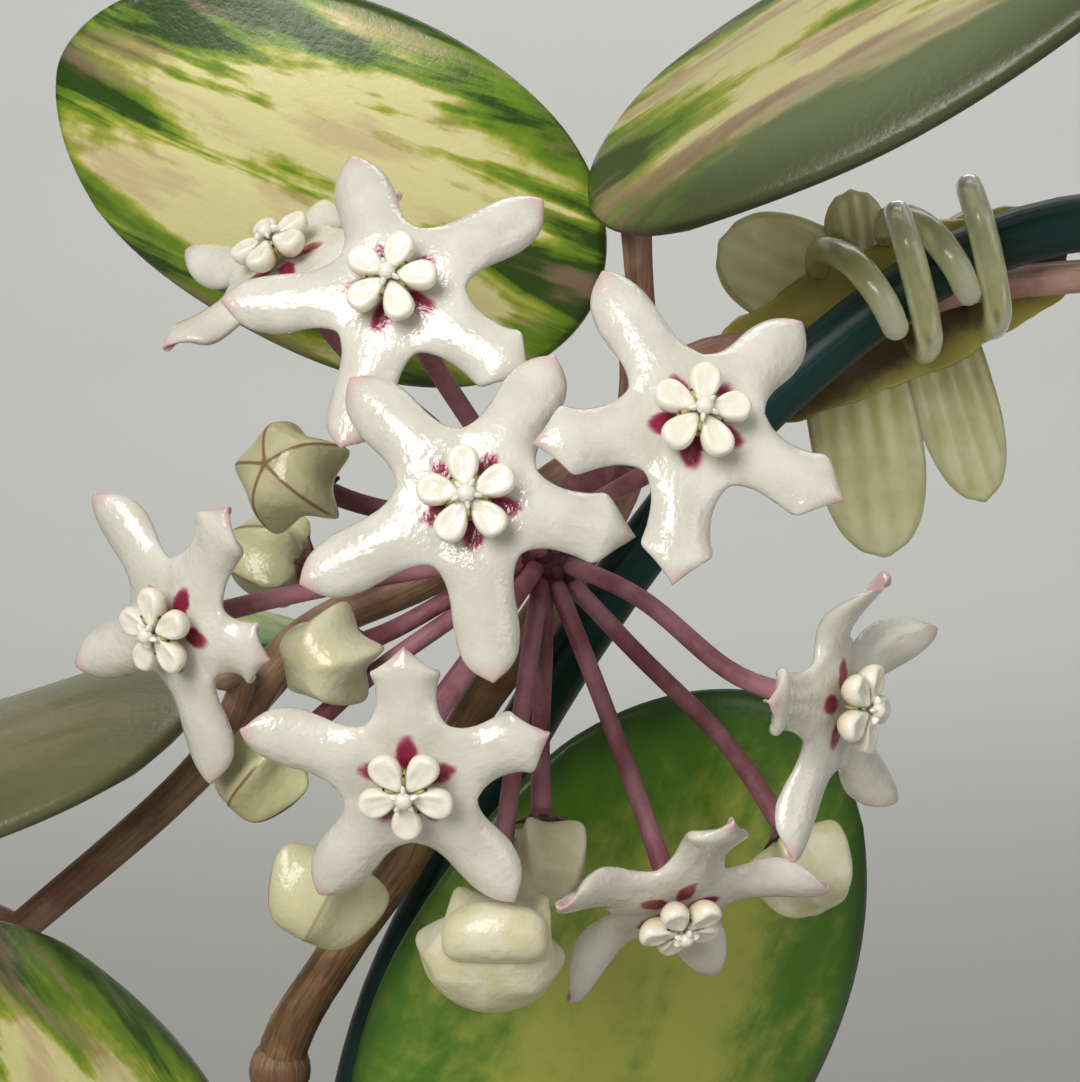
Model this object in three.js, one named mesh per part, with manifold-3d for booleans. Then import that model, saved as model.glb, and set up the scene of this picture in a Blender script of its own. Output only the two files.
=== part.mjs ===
// A potted variegated hoya in bloom, trained on a coated wire hoop.
// Millimetres, +Z up. The origin is the middle of the pot's foot, on the surface it stands on.
// The hoop stands in the plane y = 0, and the flower umbel hangs in front of its left shoulder.

import * as THREE from 'three';
import Module from 'manifold-3d';
import { mergeVertices } from 'three/addons/utils/BufferGeometryUtils.js';

const wasm = await Module();
wasm.setup();

// Driving dimensions
const GAP = 0.3;
const POT_TOP_RADIUS = 64;
const POT_FOOT_RADIUS = 47;
const POT_HEIGHT = 112;
const POT_WALL = 5;
const POT_FLOOR = 6;
const RIM_HEIGHT = 20;
const RIM_STEP = 3.2;
const DRAIN_RADIUS = 4;
const DRAIN_RING = 26;
const SOIL_LEVEL = 98;
const HOOP_TUBE = 2;
const LEG_HOLE_RADIUS = HOOP_TUBE + 0.4;
const STEM_HOLE_RADIUS = 2.3;
const VINE_RADIUS = 1.5;
const YOUNG_VINE_RADIUS = 0.9;
const STALK_RADIUS = 1.05;
const LEAF_THICKNESS = 1.3;
const LEAF_ARCH = 0.05;
const LEAF_ROLL = 0.09;
const LEAF_TAPER = 0.08;
const PETAL_THICKNESS = 0.9;
const PETAL_REACH = 9.6;
const SINUS_X = 3.4;
const SINUS_HALF_WIDTH = SINUS_X * Math.tan(Math.PI / 5);
const CORONA_RADIUS = 2.85;
const CORONA_HEIGHT = 2.3;
const PEDUNCLE_RADIUS = 1.35;
const PEDICEL_RADIUS = 0.62;
const UMBEL_RADIUS = 2.7;
const UMBEL = [-41.3, -14.4, 280.6];

const vec = (point) => new THREE.Vector3(...point);
const radians = THREE.MathUtils.degToRad;

// Solids and booleans

function bare(geometry) {
  const copy = geometry.index ? geometry.clone() : geometry;
  copy.deleteAttribute('normal');
  copy.deleteAttribute('uv');
  return mergeVertices(copy, 1e-4);
}

function bend(geometry, place) {
  const copy = geometry.clone();
  const position = copy.attributes.position;
  const point = new THREE.Vector3();
  for (let i = 0; i < position.count; i += 1) {
    point.fromBufferAttribute(position, i);
    place(point);
    position.setXYZ(i, point.x, point.y, point.z);
  }
  return bare(copy);
}

function solid(geometry) {
  const clean = bare(geometry);
  return new wasm.Manifold(new wasm.Mesh({
    numProp: 3,
    vertProperties: new Float32Array(clean.attributes.position.array),
    triVerts: new Uint32Array(clean.index.array),
  }));
}

function geometryOf(manifold) {
  const mesh = manifold.getMesh();
  const geometry = new THREE.BufferGeometry();
  geometry.setAttribute('position', new THREE.BufferAttribute(new Float32Array(mesh.vertProperties), 3));
  geometry.setIndex(new THREE.BufferAttribute(new Uint32Array(mesh.triVerts), 1));
  return geometry;
}

function fuse(geometries) {
  return geometryOf(geometries.map(solid).reduce((whole, next) => whole.add(next)));
}

// A round limb of changing thickness along a smooth path
function limb(path, radiusAt, sides, steps) {
  const curve = new THREE.CatmullRomCurve3(path.map(vec), false, 'centripetal');
  const frames = curve.computeFrenetFrames(steps, false);
  return bend(new THREE.CylinderGeometry(1, 1, 1, sides, steps), (point) => {
    const ring = Math.round((point.y + 0.5) * steps);
    const radius = radiusAt(ring / steps);
    const across = point.x * radius;
    const aside = -point.z * radius;
    point.copy(curve.getPointAt(ring / steps));
    point.addScaledVector(frames.normals[ring], across);
    point.addScaledVector(frames.binormals[ring], aside);
  });
}

// A thin closed sheet: the same triangles on its two faces, and a wall round its edge
function closedSheet(top, bottom, faces) {
  const count = top.length;
  const index = [];
  const edges = new Map();
  for (const [a, b, c] of faces) {
    index.push(a, b, c, a + count, c + count, b + count);
    for (const edge of [[a, b], [b, c], [c, a]]) edges.set(edge.join(' '), edge);
  }
  for (const [start, end] of edges.values()) {
    if (edges.has(`${end} ${start}`)) continue;
    index.push(start, start + count, end + count, start, end + count, end);
  }
  const geometry = new THREE.BufferGeometry();
  const values = [...top, ...bottom].flatMap((point) => [point.x, point.y, point.z]);
  geometry.setAttribute('position', new THREE.BufferAttribute(new Float32Array(values), 3));
  geometry.setIndex(index);
  return geometry;
}

// A square grid drawn out to a round disc of radius 1, with no sliver at its corners
function discGrid(columns, rows) {
  const points = [];
  const faces = [];
  for (let row = 0; row <= rows; row += 1) {
    for (let column = 0; column <= columns; column += 1) {
      const u = -1 + (2 * column) / columns;
      const v = -1 + (2 * row) / rows;
      points.push([u * Math.sqrt(1 - (v * v) / 2), v * Math.sqrt(1 - (u * u) / 2)]);
    }
  }
  for (let row = 0; row < rows; row += 1) {
    for (let column = 0; column < columns; column += 1) {
      const corner = row * (columns + 1) + column;
      const right = corner + 1;
      const above = corner + columns + 1;
      const far = above + 1;
      const rising = (2 * column + 1 - columns) * (2 * row + 1 - rows) > 0;
      if (rising) faces.push([corner, right, far], [corner, far, above]);
      else faces.push([corner, right, above], [right, far, above]);
    }
  }
  return { points, faces };
}

// The three directions of a flower head: azimuth 0 looks to -Y, elevation is up
function headFrame(azimuth, elevation) {
  const a = radians(azimuth);
  const e = radians(elevation);
  const facing = new THREE.Vector3(Math.sin(a) * Math.cos(e), -Math.cos(a) * Math.cos(e), Math.sin(e));
  const side = new THREE.Vector3(0, 0, 1).cross(facing).normalize();
  const rise = new THREE.Vector3().crossVectors(facing, side);
  return { side, rise, facing };
}

const plant = new THREE.Group();

function addPart(name, geometry, colour, roughness, group = plant) {
  const material = new THREE.MeshStandardMaterial({ color: colour, roughness, metalness: 0 });
  const mesh = new THREE.Mesh(geometry, material);
  mesh.name = name;
  group.add(mesh);
}

// Pot: a plain clay pot with a stepped rim and five drainage holes round its middle

function upright(radius, low, high, x, y, sides) {
  const post = new THREE.CylinderGeometry(radius, radius, high - low, sides);
  post.rotateX(Math.PI / 2);
  post.translate(x, y, (low + high) / 2);
  return post;
}

function potGeometry() {
  const underRim = POT_HEIGHT - RIM_HEIGHT;
  const shoulder = POT_TOP_RADIUS - RIM_STEP - 1;
  const profile = [
    [0, 0], [POT_FOOT_RADIUS - 1.2, 0], [POT_FOOT_RADIUS, 1.2], [shoulder, underRim],
    [POT_TOP_RADIUS - 0.8, underRim], [POT_TOP_RADIUS, underRim + 1], [POT_TOP_RADIUS, POT_HEIGHT - 1.4],
    [POT_TOP_RADIUS - 1.4, POT_HEIGHT], [POT_TOP_RADIUS - POT_WALL - 1, POT_HEIGHT],
    [POT_FOOT_RADIUS - POT_WALL, POT_FLOOR], [0, POT_FLOOR],
  ];
  const turned = new THREE.LatheGeometry(profile.map(([r, z]) => new THREE.Vector2(r, z)), 30);
  turned.rotateX(Math.PI / 2);
  let pot = solid(turned);
  for (let hole = 0; hole < 5; hole += 1) {
    const angle = radians(72 * hole + 18);
    const x = DRAIN_RING * Math.cos(angle);
    const y = DRAIN_RING * Math.sin(angle);
    pot = pot.subtract(solid(upright(DRAIN_RADIUS, -1, POT_FLOOR + 1, x, y, 10)));
  }
  return geometryOf(pot);
}

// Inner radius of the pot at a height
function potInside(z) {
  const rise = (z - POT_FLOOR) / (POT_HEIGHT - POT_FLOOR);
  return POT_FOOT_RADIUS - POT_WALL + rise * (POT_TOP_RADIUS - 1 - POT_FOOT_RADIUS);
}

// Hoop: one bent rod whose two legs stand in the soil
const HOOP_SIDE = [
  [46, 58], [46, 70], [46, 81], [46, 92], [46.6, 108], [50.5, 128], [55.5, 156], [58.5, 190], [57.5, 220],
  [53.5, 243], [46, 259], [40.5, 269], [33.9, 279], [25.6, 289], [12.2, 299],
];
const HOOP_TOP = [0, 0, 301.7];

function hoopPath() {
  const left = HOOP_SIDE.map(([x, z]) => [-x, 0, z]);
  const right = HOOP_SIDE.map(([x, z]) => [x, 0, z]).reverse();
  return [...left, HOOP_TOP, ...right];
}

// Stems. Each path is a list of points from the soil to the growing tip
const MAIN_VINE = [
  [-36, -8, 84], [-36, -8, 101], [-44.6, -3.4, 118.4], [-51.4, -4.4, 136.1], [-58.6, -3.1, 155.6],
  [-62, 0.7, 176], [-60.2, 4.1, 194.6], [-55, 3.6, 209.7], [-53.2, -2, 221], [-56.2, -5, 231],
  [-60.2, -5.1, 241.5], [-55.8, -4.8, 250.3], [-50.8, -4, 257.3], [-46.8, -3.2, 266.4],
  [-41.9, -3.2, 273.6],
  [-39.3, -3.2, 277.9], [-36.5, -3, 281.9], [-34.7, -2.4, 286.5], [-32.2, -1.2, 291], [-29.4, 0.9, 292.2],
  [-23, 4, 292.3], [-17.1, 4.2, 294.4], [-12.3, 3.7, 296.4], [-6, 2.8, 297.3], [1, 1, 297.7],
  [9.8, -2.3, 296.4], [16.8, -4, 295.7], [27.3, -3.2, 290.9], [37.1, 0, 281.4], [43.3, 3, 269.4],
  [46.6, 3.9, 256.5], [50, 2, 242.8], [52.7, -2.6, 231.5], [58.1, -4.2, 221.3], [63, -3.4, 211],
  [67, -5, 201], [69, -8, 192],
];
const SIDE_BRANCH = [
  [-35.6, -2.6, 286.2], [-40.2, -2.7, 283.8], [-48.6, -2.8, 277.4], [-58.6, -1.7, 272.2],
  [-65.8, -2.3, 262.9], [-78.1, -3.2, 252], [-92.8, -1.4, 239.5], [-102, -1, 224], [-106, -3, 207],
];
const SECOND_VINE = [
  [38, 7, 84], [38, 7, 101], [44.4, 3.4, 116.4], [50.6, 4.6, 132.1], [57.9, 3.9, 149.7], [61.2, 0, 167.3],
  [61, -3.3, 183.1], [57.9, -4.2, 199.3], [54.3, -2.6, 213], [51, -1, 226],
];
const BASE_SHOOT = [
  [8, -24, 84], [8, -24, 101], [13, -34, 118], [21, -50, 129], [30, -66, 126], [36, -77, 114],
];

// Leaves: where the stalk leaves the stem, the blade's two ends, the way its face looks, and its width.
// A few stalks also have a knee, and one ends under its blade and not at its foot
const LEAVES = [
  {
    node: [-35.2, -2.6, 288], knee: [-35.4, -3, 293], base: [-37.5, -2.1, 296.4],
    tip: [-74.9, 1.1, 312.2], face: [-0.16, -0.97, -0.18], width: 25.8,
  },
  {
    node: [-33.8, -2, 288.5], knee: [-34.8, -4.2, 297], end: [-35.3, -6, 303.2], base: [-38.5, -5.8, 302.9],
    tip: [0.5, -18, 324.5], face: [-0.56, -0.5, 0.66], width: 22,
  },
  {
    node: [-53.3, -1.6, 220], base: [-45.4, -5.6, 222.7],
    tip: [-26.4, -7.3, 269.9], face: [0.3, -0.94, -0.15], width: 36,
  },
  {
    node: [-64, -2.2, 265.3], base: [-64.9, -5.2, 269.8],
    tip: [-101.9, -11.6, 256.4], face: [-0.31, -0.18, 0.93], width: 24.7,
  },
  {
    node: [-79, -3.2, 251.3], base: [-84.2, -12.5, 254.8],
    tip: [-58.9, -26.2, 223.5], face: [0.56, -0.49, 0.67], width: 26.3,
  },
  {
    node: [-64, -2.2, 265.3], base: [-61.5, 6.5, 269.3],
    tip: [-71.5, 30, 267.5], face: [0.1, 0, 1], width: 14,
  },
  {
    node: [-55, 3.6, 209.7], base: [-62, 11, 214],
    tip: [-98, 27, 193], face: [-0.5, 0.1, 0.85], width: 33,
  },
  {
    node: [-49.5, -4.2, 131], base: [-54, -13, 138],
    tip: [-72, -52, 122], face: [-0.3, -0.6, 0.75], width: 36,
  },
  {
    node: [-44.8, -3.3, 119.5], base: [-44.5, 9, 130],
    tip: [-56, 54, 122], face: [-0.2, 0.5, 0.8], width: 36,
  },
  {
    node: [-61.7, -0.3, 171], base: [-69.5, -7, 177],
    tip: [-108, -29, 158], face: [-0.45, -0.35, 0.8], width: 36,
  },
  {
    node: [-61.9, 0.2, 173], base: [-68, 9, 179],
    tip: [-90, 48, 166], face: [-0.35, 0.4, 0.85], width: 34,
  },
  {
    node: [54, 3.9, 141], base: [58, 14, 147],
    tip: [78, 52, 134], face: [0.3, 0.4, 0.85], width: 36,
  },
  {
    node: [60.2, 1.6, 162], base: [66, -7, 167],
    tip: [98, -36, 148], face: [0.45, -0.4, 0.8], width: 35,
  },
  {
    node: [61, -3.2, 181], base: [64.5, -13, 183],
    tip: [84, -51, 168], face: [0.3, -0.45, 0.85], width: 34,
  },
  {
    node: [60.5, -3.5, 186], base: [68, 4, 192],
    tip: [103, 25, 174], face: [0.45, 0.15, 0.85], width: 34,
  },
  {
    node: [51.4, -1.2, 224], base: [46, -10, 232],
    tip: [30, -42, 240], face: [-0.1, -0.45, 0.9], width: 27,
  },
  {
    node: [27.3, -3.2, 290.9], base: [28, -12, 299],
    tip: [20, -52, 303], face: [0, -0.3, 0.95], width: 30,
  },
  {
    node: [28.5, -3, 290.3], base: [33, 6, 300],
    tip: [53, 46, 301], face: [0.15, 0.3, 0.95], width: 30,
  },
  {
    node: [45.5, 3.7, 261], base: [54, -4, 268],
    tip: [91, -24, 259], face: [0.3, -0.4, 0.85], width: 30,
  },
  {
    node: [46, 3.9, 259], base: [53, 13, 265],
    tip: [75, 47, 250], face: [0.4, 0.35, 0.85], width: 30,
  },
  {
    node: [68, -6.6, 196.5], base: [75, -11, 199],
    tip: [104, -29, 184], face: [0.4, -0.4, 0.85], width: 22,
  },
  {
    node: [24, -55, 129], base: [36, -54, 133],
    tip: [74, -72, 119], face: [0.35, -0.35, 0.85], width: 34,
  },
  {
    node: [24, -55, 129], base: [12, -63, 134],
    tip: [-22, -87, 119], face: [-0.3, -0.45, 0.85], width: 34,
  },
  {
    node: [-103.5, -1.5, 218], base: [-110, 3, 220],
    tip: [-132, 20, 207], face: [-0.4, 0.1, 0.9], width: 20,
  },
];

function leafStalk(leaf) {
  const node = vec(leaf.node);
  const base = vec(leaf.base);
  const inward = vec(leaf.tip).sub(base).normalize();
  const end = leaf.end ? vec(leaf.end) : base.clone().addScaledVector(inward, -GAP - 0.3);
  const straight = end.clone().addScaledVector(inward, -0.42 * end.distanceTo(node));
  const path = [leaf.node, leaf.knee ?? straight.toArray(), end.toArray()];
  return limb(path, () => STALK_RADIUS, 4, 3);
}

// An elliptic blade, arched along its length, with its margins rolled down
function leafGeometry(leaf) {
  const base = vec(leaf.base);
  const along = vec(leaf.tip).sub(base);
  const length = along.length();
  along.normalize();
  const across = new THREE.Vector3().crossVectors(along, vec(leaf.face)).normalize();
  const facing = new THREE.Vector3().crossVectors(across, along);
  const { points, faces } = discGrid(4, 6);
  const blade = (height) => points.map(([p, q]) => {
    const arch = LEAF_ARCH * length * (1 - q * q) - LEAF_ROLL * leaf.width * p * p;
    return base.clone()
      .addScaledVector(along, (length * (1 + q)) / 2)
      .addScaledVector(across, (p * leaf.width * (1 - LEAF_TAPER * q)) / 2)
      .addScaledVector(facing, arch + height);
  });
  return closedSheet(blade(LEAF_THICKNESS / 2), blade(-LEAF_THICKNESS / 2), faces);
}

function knot(point, radius) {
  return new THREE.SphereGeometry(radius, 6, 4).translate(...point);
}

function stem(path, radiusAt, sides, steps, knots, leaves) {
  const pieces = [limb(path, radiusAt, sides, steps)];
  for (const [point, radius] of knots) pieces.push(knot(point, radius));
  for (const leaf of leaves) pieces.push(leafStalk(leaf));
  return fuse(pieces);
}

const taper = (from, to) => (t) => from + (to - from) * t;

// The open flowers: where the corolla's middle is, the way it looks, and how each petal bends and reaches
const BLOOMS = [
  {
    at: [-50, -29.5, 299], look: [-8, 28], roll: 40,
    curl: [16, 12, 2, 4, 2], reach: [1.08, 1.01, 1.04, 1, 0.97],
  },
  {
    at: [-45.5, -38, 288], look: [-2, 18], roll: 62,
    curl: [19, 13, 8, 14, 20], reach: [1.02, 1.02, 1.06, 1.03, 0.98],
  },
  {
    at: [-33, -36.3, 292.2], look: [9, 26], roll: 42,
    curl: [18, 11, 0, 0, 0], reach: [1.02, 1.07, 0.92, 0.95, 0.95],
  },
  {
    at: [-63.8, -25.8, 278.3], look: [-37, -5], roll: 58,
    curl: [0, 0, 0, 8, 14], reach: [0.92, 0.99, 1.04, 1.06, 0.68],
  },
  {
    at: [-49.1, -35.6, 271.3], look: [-4, -11], roll: 19,
    curl: [4, 6, 0, 10, 2], reach: [0.86, 0.8, 1.01, 1.02, 0.99],
  },
  {
    at: [-23.4, -27.9, 273.9], look: [57, 0], roll: 23,
    curl: [-28, -38, -6, 2, -10], reach: [0.96, 0.95, 1, 1, 1],
  },
  {
    at: [-33.1, -23.9, 259.9], look: [19, -42], roll: 12,
    curl: [-14, -6, -16, -28, -10], reach: [1, 1, 1.03, 0.96, 1.01],
  },
  {
    at: [-58.1, -13.6, 299.7], look: [-44, 54], roll: 37,
    curl: [-20, 2, -8, -8, -10], reach: [0.93, 0.7, 0.95, 0.98, 1],
  },
];
const PETAL_ROWS = [[0, 1], [0.4, 0.79], [0.8, 0.74], [1, 0.16]];
const PETAL_COLUMNS = [-1, -0.5, 0, 0.5, 1];

function corollaGeometry(bloom) {
  const { side, rise, facing } = headFrame(...bloom.look);
  const sheet = (depth) => {
    const place = (x, y, angle, height) => {
      const out = side.clone().multiplyScalar(Math.cos(angle)).addScaledVector(rise, Math.sin(angle));
      const beside = new THREE.Vector3().crossVectors(facing, out);
      return vec(bloom.at).addScaledVector(out, x).addScaledVector(beside, y)
        .addScaledVector(facing, height - depth);
    };
    const points = [place(0, 0, 0, 0)];
    for (let petal = 0; petal < 5; petal += 1) {
      const angle = radians(bloom.roll + 72 * petal);
      const span = PETAL_REACH * bloom.reach[petal] - SINUS_X;
      const curl = radians(bloom.curl[petal]);
      for (const [fraction, breadth] of PETAL_ROWS) {
        const run = span * fraction;
        for (const column of PETAL_COLUMNS) {
          const x = SINUS_X + run * Math.cos(curl) + (fraction === 1 ? 0.5 * (1 - Math.abs(column)) : 0);
          const roll = fraction === 0 ? 0.25 : 0.55;
          const height = -run * Math.sin(curl) * fraction ** 0.6 - roll * column * column * breadth;
          points.push(place(x, column * SINUS_HALF_WIDTH * breadth, angle, height));
        }
      }
    }
    return points;
  };
  const width = PETAL_COLUMNS.length;
  const petalCount = width * PETAL_ROWS.length;
  // Neighbouring petals share the sinus point between them
  const indexOf = (petal, row, column) => {
    const shared = row === 0 && column === width - 1;
    return shared ? 1 + ((petal + 1) % 5) * petalCount : 1 + petal * petalCount + row * width + column;
  };
  const faces = [];
  for (let petal = 0; petal < 5; petal += 1) {
    for (let column = 0; column < width - 1; column += 1) {
      faces.push([0, indexOf(petal, 0, column), indexOf(petal, 0, column + 1)]);
      for (let row = 0; row < PETAL_ROWS.length - 1; row += 1) {
        const a = indexOf(petal, row, column);
        const b = indexOf(petal, row, column + 1);
        const c = indexOf(petal, row + 1, column);
        const d = indexOf(petal, row + 1, column + 1);
        if (column < 2) faces.push([a, c, b], [b, c, d]);
        else faces.push([a, c, d], [a, d, b]);
      }
    }
  }
  return closedSheet(sheet(0), sheet(PETAL_THICKNESS), faces);
}

// Corona: five fat lobes round a knob, standing between the petals
function coronaGeometry(bloom) {
  const { side, rise, facing } = headFrame(...bloom.look);
  const middle = GAP + CORONA_HEIGHT / 2;
  return bend(new THREE.SphereGeometry(1, 20, 5).rotateX(Math.PI / 2), (point) => {
    const latitude = Math.asin(THREE.MathUtils.clamp(point.z, -1, 1));
    const angle = Math.atan2(point.y, point.x);
    const valley = Math.abs(Math.sin(2.5 * (angle - Math.PI / 5)));
    const radius = CORONA_RADIUS * (1 - 0.42 * valley ** 1.5) * Math.max(Math.cos(latitude), 0) ** 0.6;
    const turned = angle + radians(bloom.roll);
    const height = middle + (CORONA_HEIGHT / 2) * Math.sin(latitude);
    point.copy(vec(bloom.at)).addScaledVector(side, radius * Math.cos(turned));
    point.addScaledVector(rise, radius * Math.sin(turned)).addScaledVector(facing, height);
  });
}

// Buds: star-shaped pillows, the largest one half open
const BUDS = [
  { at: [-56.6, -26, 287.6], look: [-26, 21], roll: 36, radius: 3.6, height: 2.8 },
  { at: [-59, -17, 281], look: [-105, 10], roll: 50, radius: 3.2, height: 2.5 },
  { at: [-54.8, -22.5, 275.6], look: [-35, -5], roll: 10, radius: 3.4, height: 2.6 },
  { at: [-59.2, -21.5, 267.6], look: [-75, -45], roll: 30, radius: 3.1, height: 2.6 },
  { at: [-54.9, -27, 261.6], look: [-60, -60], roll: 26, radius: 3.9, height: 2.8 },
  { at: [-44.5, -30, 259.5], look: [-3, -22], roll: 45, radius: 4.9, height: 3 },
  { at: [-41.3, -21.5, 262], look: [5, -50], roll: 40, radius: 3.3, height: 2.6 },
  { at: [-24, -15.5, 259.5], look: [40, -50], roll: 0, radius: 3.8, height: 2.7 },
];

function budGeometry(bud) {
  const { side, rise, facing } = headFrame(...bud.look);
  return bend(new THREE.SphereGeometry(1, 10, 6).rotateX(Math.PI / 2), (point) => {
    const latitude = Math.asin(THREE.MathUtils.clamp(point.z, -1, 1));
    const angle = Math.atan2(point.y, point.x);
    const lobed = 0.86 + 0.14 * Math.cos(5 * angle);
    const radius = bud.radius * lobed * Math.max(Math.cos(latitude), 0) ** 0.8;
    const turned = angle + radians(bud.roll);
    point.copy(vec(bud.at)).addScaledVector(side, radius * Math.cos(turned));
    point.addScaledVector(rise, radius * Math.sin(turned));
    point.addScaledVector(facing, bud.height * Math.sin(latitude));
  });
}

// Umbel stalks: the peduncle, its head, and a pedicel with its calyx behind every flower and bud
function pedicelPieces(at, look, depth) {
  const { facing } = headFrame(...look);
  const start = vec(UMBEL);
  const end = vec(at).addScaledVector(facing, -depth);
  const reach = end.distanceTo(start);
  const first = start.clone().lerp(end, 0.35).add(new THREE.Vector3(0, -0.05 * reach, 0.03 * reach));
  const second = end.clone().addScaledVector(facing, -0.28 * reach).lerp(start.clone().lerp(end, 0.7), 0.45);
  const path = [start, first, second, end.clone().addScaledVector(facing, -0.6)];
  const calyx = new THREE.CylinderGeometry(1.5, 0.55, 1.4, 5);
  const turn = new THREE.Quaternion().setFromUnitVectors(new THREE.Vector3(0, 1, 0), facing);
  calyx.applyQuaternion(turn);
  calyx.translate(...end.clone().addScaledVector(facing, -0.7).toArray());
  return [limb(path.map((point) => point.toArray()), () => PEDICEL_RADIUS, 4, 4), calyx];
}

function umbelGeometry() {
  const peduncle = [[-36.4, -4.9, 286], [-38, -8, 285], [-40.4, -12, 282.6], UMBEL];
  const pieces = [limb(peduncle, () => PEDUNCLE_RADIUS, 6, 5), knot(UMBEL, UMBEL_RADIUS)];
  for (const bloom of BLOOMS) pieces.push(...pedicelPieces(bloom.at, bloom.look, PETAL_THICKNESS + GAP));
  for (const bud of BUDS) pieces.push(...pedicelPieces(bud.at, bud.look, bud.height + GAP));
  return fuse(pieces);
}

// Soil: a chunky mix that fills the pot, with plain holes for the hoop's legs and the stems
function soilGeometry() {
  const { points, faces } = discGrid(10, 10);
  const coarse = (x, y) => 1.4 * Math.sin(0.41 * x + 1.3) * Math.cos(0.37 * y);
  const fine = (x, y) => 0.9 * Math.sin(0.83 * x - 0.71 * y);
  const topRadius = potInside(SOIL_LEVEL - 3) - GAP;
  const lowRadius = potInside(POT_FLOOR + GAP) - GAP;
  const top = points.map(([p, q]) => {
    const edge = 1 - (p * p + q * q) ** 3;
    const [x, y] = [p * topRadius, q * topRadius];
    return new THREE.Vector3(x, y, SOIL_LEVEL - 2.5 + edge * (1.5 + coarse(x, y) + fine(x, y)));
  });
  const low = points.map(([p, q]) => new THREE.Vector3(p * lowRadius, q * lowRadius, POT_FLOOR + GAP));
  let soil = solid(closedSheet(top, low, faces));
  const [legX, legFoot] = HOOP_SIDE[0];
  for (const x of [-legX, legX]) {
    soil = soil.subtract(solid(upright(LEG_HOLE_RADIUS, legFoot - 0.5, POT_HEIGHT, x, 0, 10)));
  }
  for (const path of [MAIN_VINE, SECOND_VINE, BASE_SHOOT]) {
    const [x, y, foot] = path[0];
    soil = soil.subtract(solid(upright(STEM_HOLE_RADIUS, foot - 0.5, POT_HEIGHT, x, y, 10)));
  }
  return geometryOf(soil);
}

// Clip: two halves that turn on one pin behind the hoop, with wings, and claws that lace over the front.
// In the clip's own frame x runs along the hoop, y points up and left, and z points to the front.
const CLIP_AT = [-15.7, 0, 296.7];
const CLIP_LEAN = 30;
const CLIP_PIN_Z = -9.3;
const PIN_RADIUS = 0.85;
const PLATE_FRONT = -5.6;
const PLATE_THICKNESS = 1.3;
const CLAW_RADIUS = 0.95;
const DISC_CENTRE = [-1.7, -1.6];
const DISC_HALF_LENGTH = 13.2;
const DISC_HALF_HEIGHT = 4.9;
const DISC_TILT = -7;
const DISC_FULLNESS = 0.8;
const DISC_SPLIT = 0.4;
const KNUCKLE_RADIUS = 2;
const CLIP_WIRE_RADIUS = 0.3;
const COIL_RADIUS = 1.5;

function plateSolid(outline) {
  const sheet = { depth: PLATE_THICKNESS, bevelEnabled: false };
  const plate = new THREE.ExtrudeGeometry(new THREE.Shape(outline), sheet);
  return plate.translate(0, 0, PLATE_FRONT - PLATE_THICKNESS);
}

// Half of a ragged long disc, cut straight along the pin
function halfDisc(way) {
  const fuller = (share) => Math.sign(share) * Math.abs(share) ** DISC_FULLNESS;
  const outline = [];
  const tilt = radians(DISC_TILT);
  for (let step = 0; step < 22; step += 1) {
    const angle = (2 * Math.PI * step) / 22;
    const ragged = step % 2 ? 0.7 : 0;
    const along = (DISC_HALF_LENGTH + ragged) * fuller(Math.cos(angle));
    const across = (DISC_HALF_HEIGHT + ragged) * fuller(Math.sin(angle));
    outline.push(new THREE.Vector2(
      DISC_CENTRE[0] + along * Math.cos(tilt) - across * Math.sin(tilt),
      DISC_CENTRE[1] + along * Math.sin(tilt) + across * Math.cos(tilt),
    ));
  }
  const side = new THREE.BoxGeometry(60, 30, 20).translate(0, way * (15 + DISC_SPLIT), PLATE_FRONT);
  return geometryOf(solid(plateSolid(outline)).intersect(solid(side)));
}

function wing([x, y], degrees, halfLength, halfWidth) {
  const angle = radians(degrees);
  const outline = [];
  for (let step = 0; step < 12; step += 1) {
    const round = (2 * Math.PI * step) / 12;
    const along = halfLength * Math.cos(round);
    const across = halfWidth * Math.sin(round);
    outline.push(new THREE.Vector2(
      x + along * Math.cos(angle) - across * Math.sin(angle),
      y + along * Math.sin(angle) + across * Math.cos(angle),
    ));
  }
  return plateSolid(outline);
}

// How far a claw reaches up and forward, from its root on the plate to its tip
const FIXED_CLAW = [[3.8, -6.2], [5.3, -3.5], [5.3, 0], [4, 3.3], [1.3, 4.8], [-1.7, 4.1]];
const JAW_CLAW = [[-4.3, -6.2], [-5.1, -3.5], [-4.9, 0], [-3.4, 3.2], [-0.4, 4.6], [2.8, 4.7], [5.6, 3.3]];

function claw(profile, x, rise, lean, slant) {
  const path = profile.map(([y, z]) => [x + lean * y + slant * (z - 4.8), y + rise, z]);
  return limb(path, (t) => CLAW_RADIUS * (t > 0.95 ? 0.7 : 1), 6, 8);
}

// A knuckle on the pin, with its web down to the plate
function knuckle(way, from, to) {
  const length = to - from;
  const barrel = new THREE.CylinderGeometry(KNUCKLE_RADIUS, KNUCKLE_RADIUS, length, 10).rotateZ(Math.PI / 2);
  barrel.translate((from + to) / 2, 0, CLIP_PIN_Z);
  const web = new THREE.BoxGeometry(length, 1.6, 3.2);
  web.translate((from + to) / 2, way * 1.2, CLIP_PIN_Z + 1.5);
  return [barrel, web];
}

function clipHalf(way, wings, claws, knuckles) {
  const pieces = [halfDisc(way), ...wings, ...claws];
  for (const [from, to] of knuckles) pieces.push(...knuckle(way, from, to));
  const bore = new THREE.CylinderGeometry(PIN_RADIUS + GAP, PIN_RADIUS + GAP, 40, 10).rotateZ(Math.PI / 2);
  bore.translate(0, 0, CLIP_PIN_Z);
  return geometryOf(solid(fuse(pieces)).subtract(solid(bore)));
}

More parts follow.
